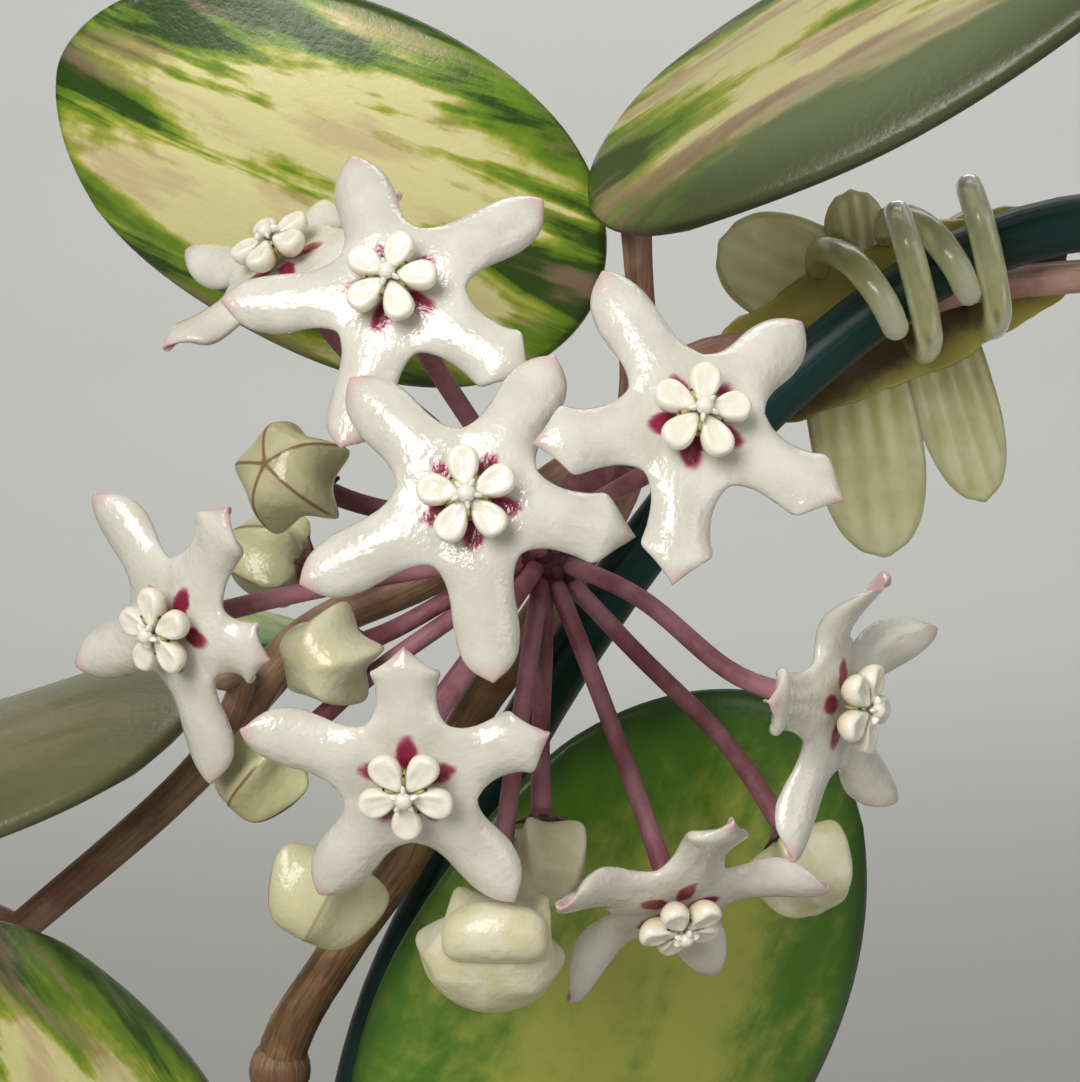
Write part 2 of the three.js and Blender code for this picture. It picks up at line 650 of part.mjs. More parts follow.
function springGeometry() {
  const coil = [];
  for (let step = 0; step <= 20; step += 1) {
    const angle = (Math.PI * 2 * step) / 7;
    const x = -2.3 + (4.6 * step) / 20;
    coil.push([x, COIL_RADIUS * Math.cos(angle), CLIP_PIN_Z + COIL_RADIUS * Math.sin(angle)]);
  }
  return limb(coil, () => CLIP_WIRE_RADIUS, 4, 20);
}

function clipGroup() {
  const group = new THREE.Group();
  const lean = radians(CLIP_LEAN);
  const along = new THREE.Vector3(Math.cos(lean), 0, Math.sin(lean));
  const upper = new THREE.Vector3(-Math.sin(lean), 0, Math.cos(lean));
  const front = new THREE.Vector3(0, -1, 0);
  group.setRotationFromMatrix(new THREE.Matrix4().makeBasis(along, upper, front));
  group.position.set(...CLIP_AT);
  const fixed = clipHalf(
    1,
    [wing([-6.5, 4.9], 127, 5.5, 4), wing([-1.1, 4.4], 68, 3.7, 2.4)],
    [claw(FIXED_CLAW, -2.5, -0.2, 0, 0.2), claw(FIXED_CLAW, 2.9, -0.6, 0, 0.2)],
    [[-8, -5.6], [5.6, 7.6]],
  );
  const jaw = clipHalf(
    -1,
    [wing([-7.7, -9.5], -109, 8.2, 4.1), wing([-0.6, -9.8], -101.5, 7.6, 3.1)],
    [claw(JAW_CLAW, 0.1, 0.8, 0.24, 0), claw(JAW_CLAW, 5.05, -0.1, 0.26, 0)],
    [[-4.9, -3.1], [3.1, 4.9]],
  );
  const pin = new THREE.CylinderGeometry(PIN_RADIUS, PIN_RADIUS, 17, 10).rotateZ(Math.PI / 2);
  pin.translate(0, 0, CLIP_PIN_Z);
  addPart('clip_half', fixed, '#a5a064', 0.35, group);
  addPart('clip_jaw', jaw, '#a5a064', 0.35, group);
  addPart('clip_pin', bare(pin), '#b9b9b4', 0.3, group);
  addPart('clip_spring', springGeometry(), '#b9b9b4', 0.3, group);
  return group;
}

// The whole plant
addPart('pot', potGeometry(), '#b4684a', 0.85);
addPart('soil', soilGeometry(), '#3c2d22', 0.95);
addPart('hoop', limb(hoopPath(), () => HOOP_TUBE, 8, 62), '#0c2a27', 0.35);

const stemLeaves = (...places) => places.map((place) => LEAVES[place - 1]);
const VINE_NODES = [[[-60.2, -5.1, 241.5], 2.4], [[-34.7, -2.6, 286.6], 2.5], [[-53.4, -1.4, 219.6], 2.1]];
const BRANCH_NODES = [[[-64, -2.2, 265.3], 2]];
const slimming = (t) => VINE_RADIUS + 0.05 - 0.7 * Math.max(0, (t - 0.45) / 0.55) ** 0.6;
const tapering = taper(VINE_RADIUS, YOUNG_VINE_RADIUS);
const vineLeaves = stemLeaves(1, 2, 3, 7, 8, 9, 10, 11, 17, 18, 19, 20, 21);
const branchLeaves = stemLeaves(4, 5, 6, 24);
const mainVine = fuse([
  stem(MAIN_VINE, slimming, 6, 78, VINE_NODES, vineLeaves),
  stem(SIDE_BRANCH, tapering, 6, 20, BRANCH_NODES, branchLeaves),
]);
const secondVine = stem(SECOND_VINE, tapering, 6, 26, [], stemLeaves(12, 13, 14, 15, 16));
const baseShoot = stem(BASE_SHOOT, tapering, 6, 12, [], stemLeaves(22, 23));
addPart('main_vine', mainVine, '#7a5a42', 0.6);
addPart('second_vine', secondVine, '#7a5a42', 0.6);
addPart('base_shoot', baseShoot, '#7a5a42', 0.6);
addPart('umbel_stalks', umbelGeometry(), '#9a5866', 0.6);
LEAVES.forEach((leaf, place) => addPart(`leaf_${place + 1}`, leafGeometry(leaf), '#7f8f3a', 0.4));
BLOOMS.forEach((bloom, place) => {
  addPart(`corolla_${place + 1}`, corollaGeometry(bloom), '#e9e6de', 0.25);
  addPart(`corona_${place + 1}`, coronaGeometry(bloom), '#efe9d6', 0.25);
});
BUDS.forEach((bud, place) => addPart(`bud_${place + 1}`, budGeometry(bud), '#d5d3ac', 0.35));
plant.add(clipGroup());

export default plant;
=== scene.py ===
# %% [markdown]
# A potted hoya in bloom. The plant climbs a coated wire hoop, and its flowers hang in one umbel in front
# of the hoop's left shoulder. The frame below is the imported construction: it fixes every place and size.
# This script only dresses it, so each step makes a finer piece in the space of a plain solid.

# %% Load the frame
import math
import random

import bmesh
import bpy
from mathutils import Matrix, Vector, noise


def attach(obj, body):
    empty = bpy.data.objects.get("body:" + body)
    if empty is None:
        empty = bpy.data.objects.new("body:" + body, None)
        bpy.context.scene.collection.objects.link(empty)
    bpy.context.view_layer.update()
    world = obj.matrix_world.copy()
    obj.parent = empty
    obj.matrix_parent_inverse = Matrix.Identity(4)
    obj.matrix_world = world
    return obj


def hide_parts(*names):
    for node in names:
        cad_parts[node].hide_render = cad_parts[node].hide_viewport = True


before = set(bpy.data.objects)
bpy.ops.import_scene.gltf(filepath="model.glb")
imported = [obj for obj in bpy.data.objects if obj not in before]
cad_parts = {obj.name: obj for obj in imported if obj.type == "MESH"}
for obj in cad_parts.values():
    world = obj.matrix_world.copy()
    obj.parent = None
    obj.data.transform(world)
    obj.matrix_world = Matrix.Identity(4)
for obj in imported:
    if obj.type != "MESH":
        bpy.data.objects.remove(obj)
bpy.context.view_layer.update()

# %% [markdown]
# The camera stands where the photographer stood: 168 mm in front of the hoop and 156 mm from the umbel's
# head, looking down by 10 degrees through a lens that takes in about 64 mm across at the flowers. All
# lengths below are in millimetres until a piece is finished, because small flowers are easier to read so.

# %% Camera
MM = 0.001
VIEW_FROM = Vector((-41.6, -167.9, 308.6))
VIEW_DOWN = 10

scene = bpy.context.scene
camera = bpy.data.objects.new("camera", bpy.data.cameras.new("camera"))
camera.location = VIEW_FROM * MM
camera.rotation_euler = (math.radians(90 - VIEW_DOWN), 0, 0)
camera.data.lens = 80
camera.data.sensor_width = 36
camera.data.clip_start = 0.005
scene.collection.objects.link(camera)
scene.camera = camera
scene.view_settings.view_transform = "Standard"
print("camera at", tuple(camera.location))

# %% [markdown]
# Every finish is a small tree of shader nodes. One function turns the sRGB colour of a paint chart into
# the linear colour that light adds up in, and one adds any node with its settings and links.

# %% Colour and node helpers
def linear(code):
    channels = [int(code[place:place + 2], 16) / 255 for place in (1, 3, 5)]
    return tuple(c / 12.92 if c < 0.04045 else ((c + 0.055) / 1.055) ** 2.4 for c in channels) + (1.0,)


def add(tree, kind, *values, output=0, **settings):
    """Adds a node. The values fill its live inputs in order, where None leaves one as it is, another
    node's output becomes a link and a code such as "#dfddd6" becomes its colour. What comes back is the
    output that is asked for."""
    node = tree.nodes.new("ShaderNode" + kind)
    for name, value in settings.items():
        setattr(node, name, value)
    live = [socket for socket in node.inputs if socket.enabled]
    for socket, value in zip(live, values):
        if isinstance(value, bpy.types.NodeSocket):
            tree.links.new(value, socket)
        elif value is not None:
            socket.default_value = linear(value) if isinstance(value, str) else value
    if isinstance(output, str):
        return node.outputs[output]
    return [socket for socket in node.outputs if socket.enabled][output]


def new_material(name, **sockets):
    """A material whose shader has the given numbers on its own sockets."""
    material = bpy.data.materials.new(name)
    material.use_nodes = True
    shader = material.node_tree.nodes["Principled BSDF"]
    for socket, value in sockets.items():
        shader.inputs[socket.replace("_", " ")].default_value = value
    return material, material.node_tree, shader


def surface(tree, shader, colour, height, depth_mm):
    """Gives the shader its colour, and raises its surface by depth_mm where the height is 1."""
    tree.links.new(colour, shader.inputs["Base Color"])
    relief = add(tree, "Bump", 1.0, depth_mm * MM, None, height)
    tree.links.new(relief, shader.inputs["Normal"])
    tree.links.new(relief, shader.inputs["Coat Normal"])


def in_millimetres(tree):
    """The place on the piece, in millimetres, so that every scale below is a real size."""
    place = add(tree, "TexCoord", output="Object")
    return add(tree, "VectorMath", place, (1 / MM, 1 / MM, 1 / MM), **TIMES)


def stored(tree, name, parts=""):
    """What the piece's mesh stores at each point under this name: the whole, then the parts named."""
    whole = add(tree, "Attribute", attribute_name=name, output="Vector")
    return whole, *(add(tree, "SeparateXYZ", whole, output=part) for part in parts)


SOFT = {"interpolation_type": "SMOOTHSTEP"}
COLOUR = {"data_type": "RGBA"}
TIMES = {"operation": "MULTIPLY"}
PLUS = {"operation": "ADD"}
TIMES_PLUS = {"operation": "MULTIPLY_ADD"}
print("helpers ready")

# %% [markdown]
# The stage is a plain pale dish, one profile spun round the plant, so that every view ends in the same
# soft grey. The main light is a window at the upper left. There is a weak one at the right, one behind,
# and one that only lights the wall, so that the grey is paler at its top than at its foot.

# %% Stage and light
def spun(profile, steps):
    """A profile of radius and height, spun round the upright axis."""
    bm = bmesh.new()
    corners = [bm.verts.new((radius, 0, z)) for radius, z in profile]
    edges = [bm.edges.new(pair) for pair in zip(corners, corners[1:])]
    turn = {"cent": (0, 0, 0), "axis": (0, 0, 1), "angle": 2 * math.pi, "steps": steps, "use_merge": True}
    bmesh.ops.spin(bm, geom=corners + edges, **turn)
    return bm


DISH_PROFILE = [(0, 0), (1.3, 0), (1.5, 0.03), (1.68, 0.13), (1.8, 0.3), (1.85, 0.55), (1.85, 1.9)]


def stage_dish():
    bm = spun(DISH_PROFILE, 64)
    bmesh.ops.remove_doubles(bm, verts=bm.verts, dist=1e-5)
    bmesh.ops.recalc_face_normals(bm, faces=bm.faces)
    bmesh.ops.reverse_faces(bm, faces=bm.faces)
    mesh = bpy.data.meshes.new("floor")
    bm.to_mesh(mesh)
    bm.free()
    mesh.polygons.foreach_set("use_smooth", [True] * len(mesh.polygons))
    floor = bpy.data.objects.new("floor", mesh)
    scene.collection.objects.link(floor)
    board = new_material("pale_matte_board", Roughness=0.9, Base_Color=linear("#b7b7b4"))[0]
    mesh.materials.append(board)


def window(name, place, target, size, power, colour):
    lamp = bpy.data.lights.new(name, "AREA")
    lamp.shape = "RECTANGLE"
    lamp.size, lamp.size_y = size
    lamp.energy = power
    lamp.color = linear(colour)[:3]
    light = bpy.data.objects.new(name, lamp)
    light.location = place
    light.rotation_euler = (Vector(target) - Vector(place)).to_track_quat("-Z", "Y").to_euler()
    scene.collection.objects.link(light)


UMBEL_PLACE = (-0.045, -0.02, 0.275)
ROOM_STRENGTH = 0.42
stage_dish()
window("key_window", (-0.28, -0.52, 0.64), UMBEL_PLACE, (0.30, 0.42), 4.2, "#fffcf3")
window("fill_window", (0.55, -0.45, 0.45), UMBEL_PLACE, (0.5, 0.5), 1.2, "#fbfaf6")
window("back_window", (0.1, 0.7, 1.1), (0, 0, 0.25), (0.8, 0.4), 2.0, "#ffffff")
window("wall_window", (0, 1.1, 0.9), (0, 1.85, 0.32), (1.6, 0.3), 10.0, "#ffffff")
world = bpy.data.worlds.new("soft_room")
world.use_nodes = True
world.node_tree.nodes["Background"].inputs["Color"].default_value = linear("#e8e8e4")
world.node_tree.nodes["Background"].inputs["Strength"].default_value = ROOM_STRENGTH
scene.world = world

# %% [markdown]
# Most of the plant is round rods along smooth paths. A rod starts as a cylinder that is cut into rings,
# and each ring is carried to its place on the path. The rings keep their roll from one to the next, so
# that the skin doesn't twist. Its ends are rounded by a few rings that close in.

# %% Paths and rods
STEPS_A_SPAN = 16
CAP_TURNS = (0.25, 0.7, 1.15)
CAP_TIP = 0.06


def smooth_path(points, count):
    """A centripetal Catmull-Rom curve through the points, as count + 1 places at equal steps."""
    knots = [Vector(point) for point in points]
    knots = [2 * knots[0] - knots[1]] + knots + [2 * knots[-1] - knots[-2]]
    fine = []
    for p0, p1, p2, p3 in zip(knots, knots[1:], knots[2:], knots[3:]):
        t1 = math.sqrt((p1 - p0).length)
        t2 = t1 + math.sqrt((p2 - p1).length)
        t3 = t2 + math.sqrt((p3 - p2).length)
        for step in range(STEPS_A_SPAN):
            t = t1 + (t2 - t1) * step / STEPS_A_SPAN
            a1 = p0.lerp(p1, t / t1)
            a2 = p1.lerp(p2, (t - t1) / (t2 - t1))
            a3 = p2.lerp(p3, (t - t2) / (t3 - t2))
            b1 = a1.lerp(a2, t / t2)
            b2 = a2.lerp(a3, (t - t1) / (t3 - t1))
            fine.append(b1.lerp(b2, (t - t1) / (t2 - t1)))
    fine.append(knots[-2])
    return at_distances(fine, [step / count for step in range(count + 1)])


def at_distances(line, fractions):
    """The places at the given fractions of a line's length."""
    lengths = [0.0]
    for start, end in zip(line, line[1:]):
        lengths.append(lengths[-1] + (end - start).length)
    places = []
    piece = 0
    for fraction in fractions:
        wanted = fraction * lengths[-1]
        while piece < len(line) - 2 and lengths[piece + 1] < wanted:
            piece += 1
        span = lengths[piece + 1] - lengths[piece]
        places.append(line[piece].lerp(line[piece + 1], (wanted - lengths[piece]) / max(span, 1e-9)))
    return places


def length_of(line):
    return sum((end - start).length for start, end in zip(line, line[1:]))


def rod(path, radius_at, sides, rings, round_ends=(True, True), kind=0.0):
    """A rod with its own skin map: run is along it, around is round it, both in millimetres."""
    line = smooth_path(path, max(rings * 2, 40))
    total = length_of(line)
    fractions = [(step / rings, 1.0) for step in range(rings + 1)]
    cap = [(1 - math.cos(turn), math.sin(turn)) for turn in CAP_TURNS]
    if round_ends[1]:
        reach = radius_at(1.0) / total
        fractions = [pair for pair in fractions if pair[0] < 1 - reach]
        fractions += [(1 - reach * rest, ease) for rest, ease in reversed(cap)] + [(1.0, CAP_TIP)]
    if round_ends[0]:
        reach = radius_at(0.0) / total
        fractions = [pair for pair in fractions if pair[0] > reach]
        fractions = [(0.0, CAP_TIP)] + [(reach * rest, ease) for rest, ease in cap] + fractions
    places = at_distances(line, [fraction for fraction, ease in fractions])
    bm, skin = new_mesh("skin")
    bmesh.ops.create_cone(bm, cap_ends=True, segments=sides, radius1=1, radius2=1, depth=1)
    upright = [edge for edge in bm.edges if abs(edge.verts[0].co.z - edge.verts[1].co.z) > 0.5]
    bmesh.ops.subdivide_edges(bm, edges=upright, cuts=len(places) - 2)
    frames = rolled_frames(places)
    for vert in bm.verts:
        ring = round((vert.co.z + 0.5) * (len(places) - 1))
        turn = math.atan2(vert.co.y, vert.co.x)
        fraction, ease = fractions[ring]
        radius = radius_at(fraction) * ease
        across, aside = frames[ring]
        vert.co = places[ring] + (across * math.cos(turn) + aside * math.sin(turn)) * radius
        vert[skin] = (fraction * total, turn * radius_at(fraction), kind)
    bmesh.ops.recalc_face_normals(bm, faces=bm.faces)
    return bm


def rolled_frames(places):
    """Two directions across the path at each place, carried along without twist."""
    frames = []
    across = Vector((0.31, 0.27, 0.91))
    for step in range(len(places)):
        ahead = (places[min(step + 1, len(places) - 1)] - places[max(step - 1, 0)]).normalized()
        across = (across - ahead * across.dot(ahead)).normalized()
        frames.append((across.copy(), ahead.cross(across)))
    return frames


def new_mesh(layer):
    """An empty mesh, and the layer in which its vertices store what their skin reads."""
    bm = bmesh.new()
    return bm, bm.verts.layers.float_vector.new(layer)


def turned(bm, degrees, axis="Z"):
    bmesh.ops.rotate(bm, matrix=Matrix.Rotation(math.radians(degrees), 3, axis), verts=bm.verts)
    return bm


def only_verts(parts):
    return [part for part in parts if isinstance(part, bmesh.types.BMVert)]


def join(target, *parts):
    """Adds each part to the target mesh and frees it."""
    for part in parts:
        mesh = bpy.data.meshes.new("part")
        part.to_mesh(mesh)
        part.free()
        target.from_mesh(mesh)
        bpy.data.meshes.remove(mesh)
    return target


def finish_piece(bm, name, materials, slot, stands_for, body="root", smooth=0, wall=0.0, under=0):
    """Turns a mesh in millimetres into a piece of the object that rides on its body."""
    bmesh.ops.scale(bm, vec=(MM, MM, MM), verts=bm.verts)
    mesh = bpy.data.meshes.new(name)
    bm.to_mesh(mesh)
    bm.free()
    mesh.polygons.foreach_set("use_smooth", [True] * len(mesh.polygons))
    piece = bpy.data.objects.new(name, mesh)
    scene.collection.objects.link(piece)
    for material in materials:
        mesh.materials.append(material)
    if wall:
        solidify = piece.modifiers.new("wall", "SOLIDIFY")
        solidify.thickness = wall * MM
        solidify.offset = -1
        solidify.material_offset = under
        solidify.material_offset_rim = 0
    if smooth:
        subdivision = piece.modifiers.new("smooth", "SUBSURF")
        subdivision.levels = subdivision.render_levels = smooth
    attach(piece, body)
    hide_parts(*stands_for)
    return piece


def placed_sphere(place, radius, kind=0.0, segments=12):
    bm, skin = new_mesh("skin")
    bmesh.ops.create_uvsphere(bm, u_segments=segments, v_segments=segments * 2 // 3, radius=radius)
    for vert in bm.verts:
        vert[skin] = (vert.co.z, math.atan2(vert.co.y, vert.co.x) * radius, kind)
    bmesh.ops.translate(bm, vec=Vector(place), verts=bm.verts)
    return bm


print("rods ready")

# %% [markdown]
# The petals are thick and waxy, like fresh candle wax: light goes a little way in, and the wet-looking
# skin breaks its highlights into streaks. Each petal has a crimson mark just outside the crown, and a
# pink tip. Both follow the petal, so they read what the petal's mesh stores: the way out from the
# middle, the way across, and the share of the petal's length.

# %% Petal wax
def petal_wax():
    material, tree, shader = new_material(
        "petal_wax", Roughness=0.26, IOR=1.45, Coat_Weight=0.9, Coat_Roughness=0.09,
        Subsurface_Weight=0.35, Subsurface_Radius=(1.0, 0.88, 0.76), Subsurface_Scale=1.0 * MM,
    )
    whole, share = stored(tree, "petal", "Z")
    place = in_millimetres(tree)
    clouds = add(tree, "MapRange", add(tree, "TexNoise", place, 0.35, 2.0), 0.35, 0.65, **SOFT)
    milk = add(tree, "Mix", clouds, "#dfddd6", "#d4d1c8", **COLOUR)
    blush = add(tree, "MapRange", share, 0.8, 1.0, 0.0, 0.8, **SOFT)
    rosy = add(tree, "Mix", blush, milk, "#cfa5aa", **COLOUR)
    # The mark: a soft oval 1.5 mm wide whose middle lies under the crown
    from_mark = add(tree, "VectorMath", whole, (-1.8, 0.0, 0.0), **PLUS)
    from_mark = add(tree, "VectorMath", from_mark, (0.72, 1.25, 0.0), **TIMES)
    away = add(tree, "VectorMath", from_mark, operation="LENGTH", output="Value")
    ragged = add(tree, "Math", add(tree, "TexNoise", place, 1.4, 2.0), 0.5, away, **TIMES_PLUS)
    mark = add(tree, "MapRange", ragged, 1.2, 0.85, **SOFT)
    depth = add(tree, "MapRange", ragged, 1.1, 0.7, **SOFT)
    crimson = add(tree, "Mix", depth, "#bd5f80", "#8a1d46", **COLOUR)
    colour = add(tree, "Mix", mark, rosy, crimson, **COLOUR)
    # Fine veins under the skin run along the petal and break its highlights into flecks
    veins = add(tree, "TexNoise", add(tree, "VectorMath", whole, (1.1, 2.6, 0.0), **TIMES), 1.0, 3.0)
    grain = add(tree, "TexNoise", place, 2.4, 2.0, 0.5)
    relief = add(tree, "Math", veins, 0.6, grain, **TIMES_PLUS)
    surface(tree, shader, colour, relief, 0.06)
    return material


PETAL_WAX = petal_wax()
print("material:", PETAL_WAX.name)

# %% [markdown]
# A flower's crown is pearly cream, and painted shade makes it darker and warmer low down in its clefts.
# Between its lobes sit five small yellow-green pads with a dark speck each, which is where the pollen is
# kept.

# %% Crown and pollen finishes
def crown_pearl():
    material, tree, shader = new_material(
        "crown_pearl", Roughness=0.28, IOR=1.46, Coat_Weight=0.5, Coat_Roughness=0.12,
        Subsurface_Weight=0.3, Subsurface_Radius=(1.0, 0.85, 0.6), Subsurface_Scale=0.7 * MM,
    )
    level = stored(tree, "petal", "X")[1]
    # Painted shade: the lower a point of the crown lies, the darker and warmer its cream
    height = add(tree, "MapRange", level, 0.5, 1.9, **SOFT)
    pearl = add(tree, "Mix", height, "#d9d0b0", "#f1ece0", **COLOUR)
    surface(tree, shader, pearl, add(tree, "TexNoise", in_millimetres(tree), 2.2, 2.0), 0.05)
    return material


def plain_tissue(name, first, second, per_mm, rough, depth_mm):
    """Two tones in soft patches, with about per_mm lumps to the millimetre."""
    material, tree, shader = new_material(name, Roughness=rough, IOR=1.42)
    lumps = add(tree, "TexNoise", in_millimetres(tree), per_mm, 3.0)
    patches = add(tree, "MapRange", lumps, 0.35, 0.65, **SOFT)
    tones = add(tree, "Mix", patches, first, second, **COLOUR)
    surface(tree, shader, tones, lumps, depth_mm)
    return material


CROWN_PEARL = crown_pearl()
POLLEN_PAD = plain_tissue("pollen_pad", "#8f8a3e", "#b9b27a", 2.0, 0.4, 0.05)
POLLEN_SPECK = plain_tissue("pollen_speck", "#2c2210", "#4a3a18", 3.0, 0.35, 0.03)
print("materials:", CROWN_PEARL.name, POLLEN_PAD.name, POLLEN_SPECK.name)

# %% [markdown]
# An open flower faces one way, and its five petals lie round that way at equal angles. The petals are
# narrow and nearly tubular, because their margins roll back. Some end in a blunt finger, and some flare
# out before a small tip. One wedge of the flower is a flat grid that is carried to its form: the first
# rows fill the middle, and the rest is the petal. Five wedges meet along their sides and are merged.

# %% Where the flowers stand
BLOOMS = [
    # middle, way it looks, roll, curl of each petal, reach of each petal, petals that flare
    ((-50, -29.5, 299), (-8, 28), 40,
     (16, 12, 2, 4, 2), (1.08, 1.01, 1.04, 1, 0.97), (0, 0, 0, 0, 1)),
    ((-45.5, -38, 288), (-2, 18), 62,
     (19, 13, 8, 14, 20), (1.02, 1.02, 1.06, 1.03, 0.98), (0, 0, 0, 0, 1)),
    ((-33, -36.3, 292.2), (9, 26), 42,
     (18, 11, 0, 0, 0), (1.02, 1.07, 0.92, 0.95, 0.95), (0, 0, 1, 1, 1)),
    ((-63.8, -25.8, 278.3), (-37, -5), 58,
     (0, 0, 0, 8, 14), (0.92, 0.99, 1.04, 1.06, 0.68), (1, 0, 0, 0, 1)),
    ((-49.1, -35.6, 271.3), (-4, -11), 19,
     (4, 6, 0, 10, 2), (0.86, 0.8, 1.01, 1.02, 0.99), (1, 1, 0, 0, 0)),
    ((-23.4, -27.9, 273.9), (57, 0), 23,
     (-28, -38, -6, 2, -10), (0.96, 0.95, 1, 1, 1), (0, 0, 1, 0, 0)),
    ((-33.1, -23.9, 259.9), (19, -42), 12,
     (-14, -6, -16, -28, -10), (1, 1, 1.03, 0.96, 1.01), (0, 1, 0, 0, 0)),
    ((-58.1, -13.6, 299.7), (-44, 54), 37,
     (-20, 2, -8, -8, -10), (0.93, 0.7, 0.95, 0.98, 1), (0, 0, 0, 1, 0)),
]


def head_frame(middle, look):
    """Carries a head's own frame, x to its side, y up and z the way it looks, to its place."""
    azimuth, elevation = (math.radians(angle) for angle in look)
    level = math.cos(elevation)
    facing = Vector((math.sin(azimuth) * level, -math.cos(azimuth) * level, math.sin(elevation)))
    side = Vector((0, 0, 1)).cross(facing).normalized()
    matrix = Matrix((side, facing.cross(side), facing)).transposed().to_4x4()
    matrix.translation = Vector(middle)
    return matrix


print(len(BLOOMS), "flowers")

# %% Petal form
FIFTH = 72
PETAL_REACH = 9.6
PETAL_THICKNESS = 0.75
SINUS_X = 3.4
SINUS_HALF_WIDTH = SINUS_X * math.tan(math.pi / 5)
MIDDLE_SHARE = 0.25
FINGER = [(0, 1), (0.12, 0.84), (0.3, 0.78), (0.6, 0.79), (0.8, 0.7), (0.93, 0.48), (1, 0.2)]
FLARED = [(0, 1), (0.12, 0.83), (0.3, 0.75), (0.5, 0.79), (0.7, 0.93), (0.8, 0.68), (0.9, 0.36), (1, 0.13)]
FINGER_ROLL = [(0, 20), (0.15, 55), (0.35, 88), (0.6, 98), (0.85, 92), (1, 65)]
FLARED_ROLL = [(0, 20), (0.15, 50), (0.35, 80), (0.55, 80), (0.72, 35), (0.85, 45), (1, 60)]


def along_table(table, share):
    for (start, low), (end, high) in zip(table, table[1:]):
        if share <= end:
            return low + (high - low) * (share - start) / (end - start)
    return table[-1][1]


def petal_wedge(curl, reach, flared):
    """A fifth of a flower, with its petal along x."""
    bm, petal = new_mesh("petal")
    bmesh.ops.create_grid(bm, x_segments=6, y_segments=16, size=1)
    span = PETAL_REACH * reach - SINUS_X
    curl = math.radians(curl)
    breadths, rolls = (FLARED, FLARED_ROLL) if flared else (FINGER, FINGER_ROLL)
    for vert in bm.verts:
        column = vert.co.x
        share = (vert.co.y + 1) / 2
        rest = max(share - MIDDLE_SHARE, 0) / (1 - MIDDLE_SHARE)
        inner = min(share / MIDDLE_SHARE, 1)
        run = span * rest
        half = SINUS_HALF_WIDTH * along_table(breadths, rest)
        roll = math.radians(along_table(rolls, rest))
        radius = half / math.sin(min(roll, math.pi / 2))
        x = SINUS_X * inner + run * math.cos(curl) + (0.5 * (1 - abs(column)) * rest ** 4)
        y = radius * math.sin(column * roll) * inner
        z = -0.82 * radius * (1 - math.cos(column * roll)) * inner ** 2
        z -= run * math.sin(curl) * rest ** 0.6
        z -= (0.7 if flared else 0.25) * max(rest - 0.7, 0) ** 2 / 0.09
        vert[petal] = (x, abs(y), rest * (1 if x > SINUS_X else 0))
        vert.co = (x, y, z)
    return bm


def flower_petals(number, middle, look, roll, curls, reaches, flares):
    bm = new_mesh("petal")[0]
    for place, shape in enumerate(zip(curls, reaches, flares)):
        join(bm, turned(petal_wedge(*shape), roll + FIFTH * place))
    bmesh.ops.remove_doubles(bm, verts=bm.verts, dist=0.02)
    bmesh.ops.recalc_face_normals(bm, faces=bm.faces)
    if max(bm.faces, key=lambda face: face.calc_area()).normal.z < 0:
        bmesh.ops.reverse_faces(bm, faces=bm.faces)
    bm.transform(head_frame(middle, look))
    stands_for = [f"corolla_{number}"]
    shape = {"smooth": 2, "wall": PETAL_THICKNESS}
    return finish_piece(bm, f"petals_{number}", [PETAL_WAX], "petal", stands_for, **shape)


for number, bloom in enumerate(BLOOMS, 1):
    flower_petals(number, *bloom)
print("petals of", len(BLOOMS), "flowers")

# %% [markdown]
# The crown has five fat lobes that stand between the petals. Seen from above each is a drop, narrow at
# the middle and round outside, with a shallow dish in its top. A sphere is pressed into that form, five
# copies are turned round the middle, and a small knob, five pollen pads and their specks fill the rest.

# %% Crowns
def crown_lobe():
    bm, petal = new_mesh("petal")
    bmesh.ops.create_uvsphere(bm, u_segments=16, v_segments=12, radius=1)
    for vert in bm.verts:
        out, across, up = vert.co
        width = 1.22 * (1 - 0.66 * max((1 - out) / 2, 0) ** 1.2)
        lift = 0.35 * max((out + 1) / 2, 0) ** 1.5
        dish = 0.5 * math.exp(-((out - 0.12) / 0.62) ** 4 - (across / 0.6) ** 4) if up > 0 else 0
        height = 0.35 + (up + 1) * 0.92 + lift * (up + 1) / 2 - dish
        vert.co = (1.52 + 1.33 * out + 0.12 * up * out, across * width, height)
        vert[petal] = (height, 0, 0)
    bmesh.ops.recalc_face_normals(bm, faces=bm.faces)
    return bm


def pressed_sphere(size, place, material=0, segments=10):
    bm, petal = new_mesh("petal")
    bmesh.ops.create_uvsphere(bm, u_segments=segments, v_segments=segments // 2 + 2, radius=1)
    bmesh.ops.scale(bm, vec=size, verts=bm.verts)
    bmesh.ops.translate(bm, vec=place, verts=bm.verts)
    for vert in bm.verts:
        vert[petal] = (vert.co.z, 0, 0)
    for face in bm.faces:
        face.material_index = material
    return bm


def flower_crown(number, middle, look, roll):
    bm = new_mesh("petal")[0]
    for fifth in range(5):
        pad = new_mesh("petal")[0]
        join(pad, pressed_sphere((0.5, 0.2, 0.7), (0.9, 0, 1.15), 1))
        join(pad, pressed_sphere((0.1, 0.08, 0.16), (1.25, 0, 1.62), 2, 8))
        join(pad, pressed_sphere((0.5, 0.17, 0.26), (0.45, 0, 2.2), 0))
        lobe = turned(crown_lobe(), roll + FIFTH / 2 + FIFTH * fifth)
        join(bm, lobe, turned(pad, roll + FIFTH * fifth))
    join(bm, pressed_sphere((0.52, 0.52, 0.42), (0, 0, 2.3), 0, 16))
    bm.transform(head_frame(middle, look))
    materials = [CROWN_PEARL, POLLEN_PAD, POLLEN_SPECK]
    return finish_piece(bm, f"crown_{number}", materials, "corona", [f"corona_{number}"], smooth=1)


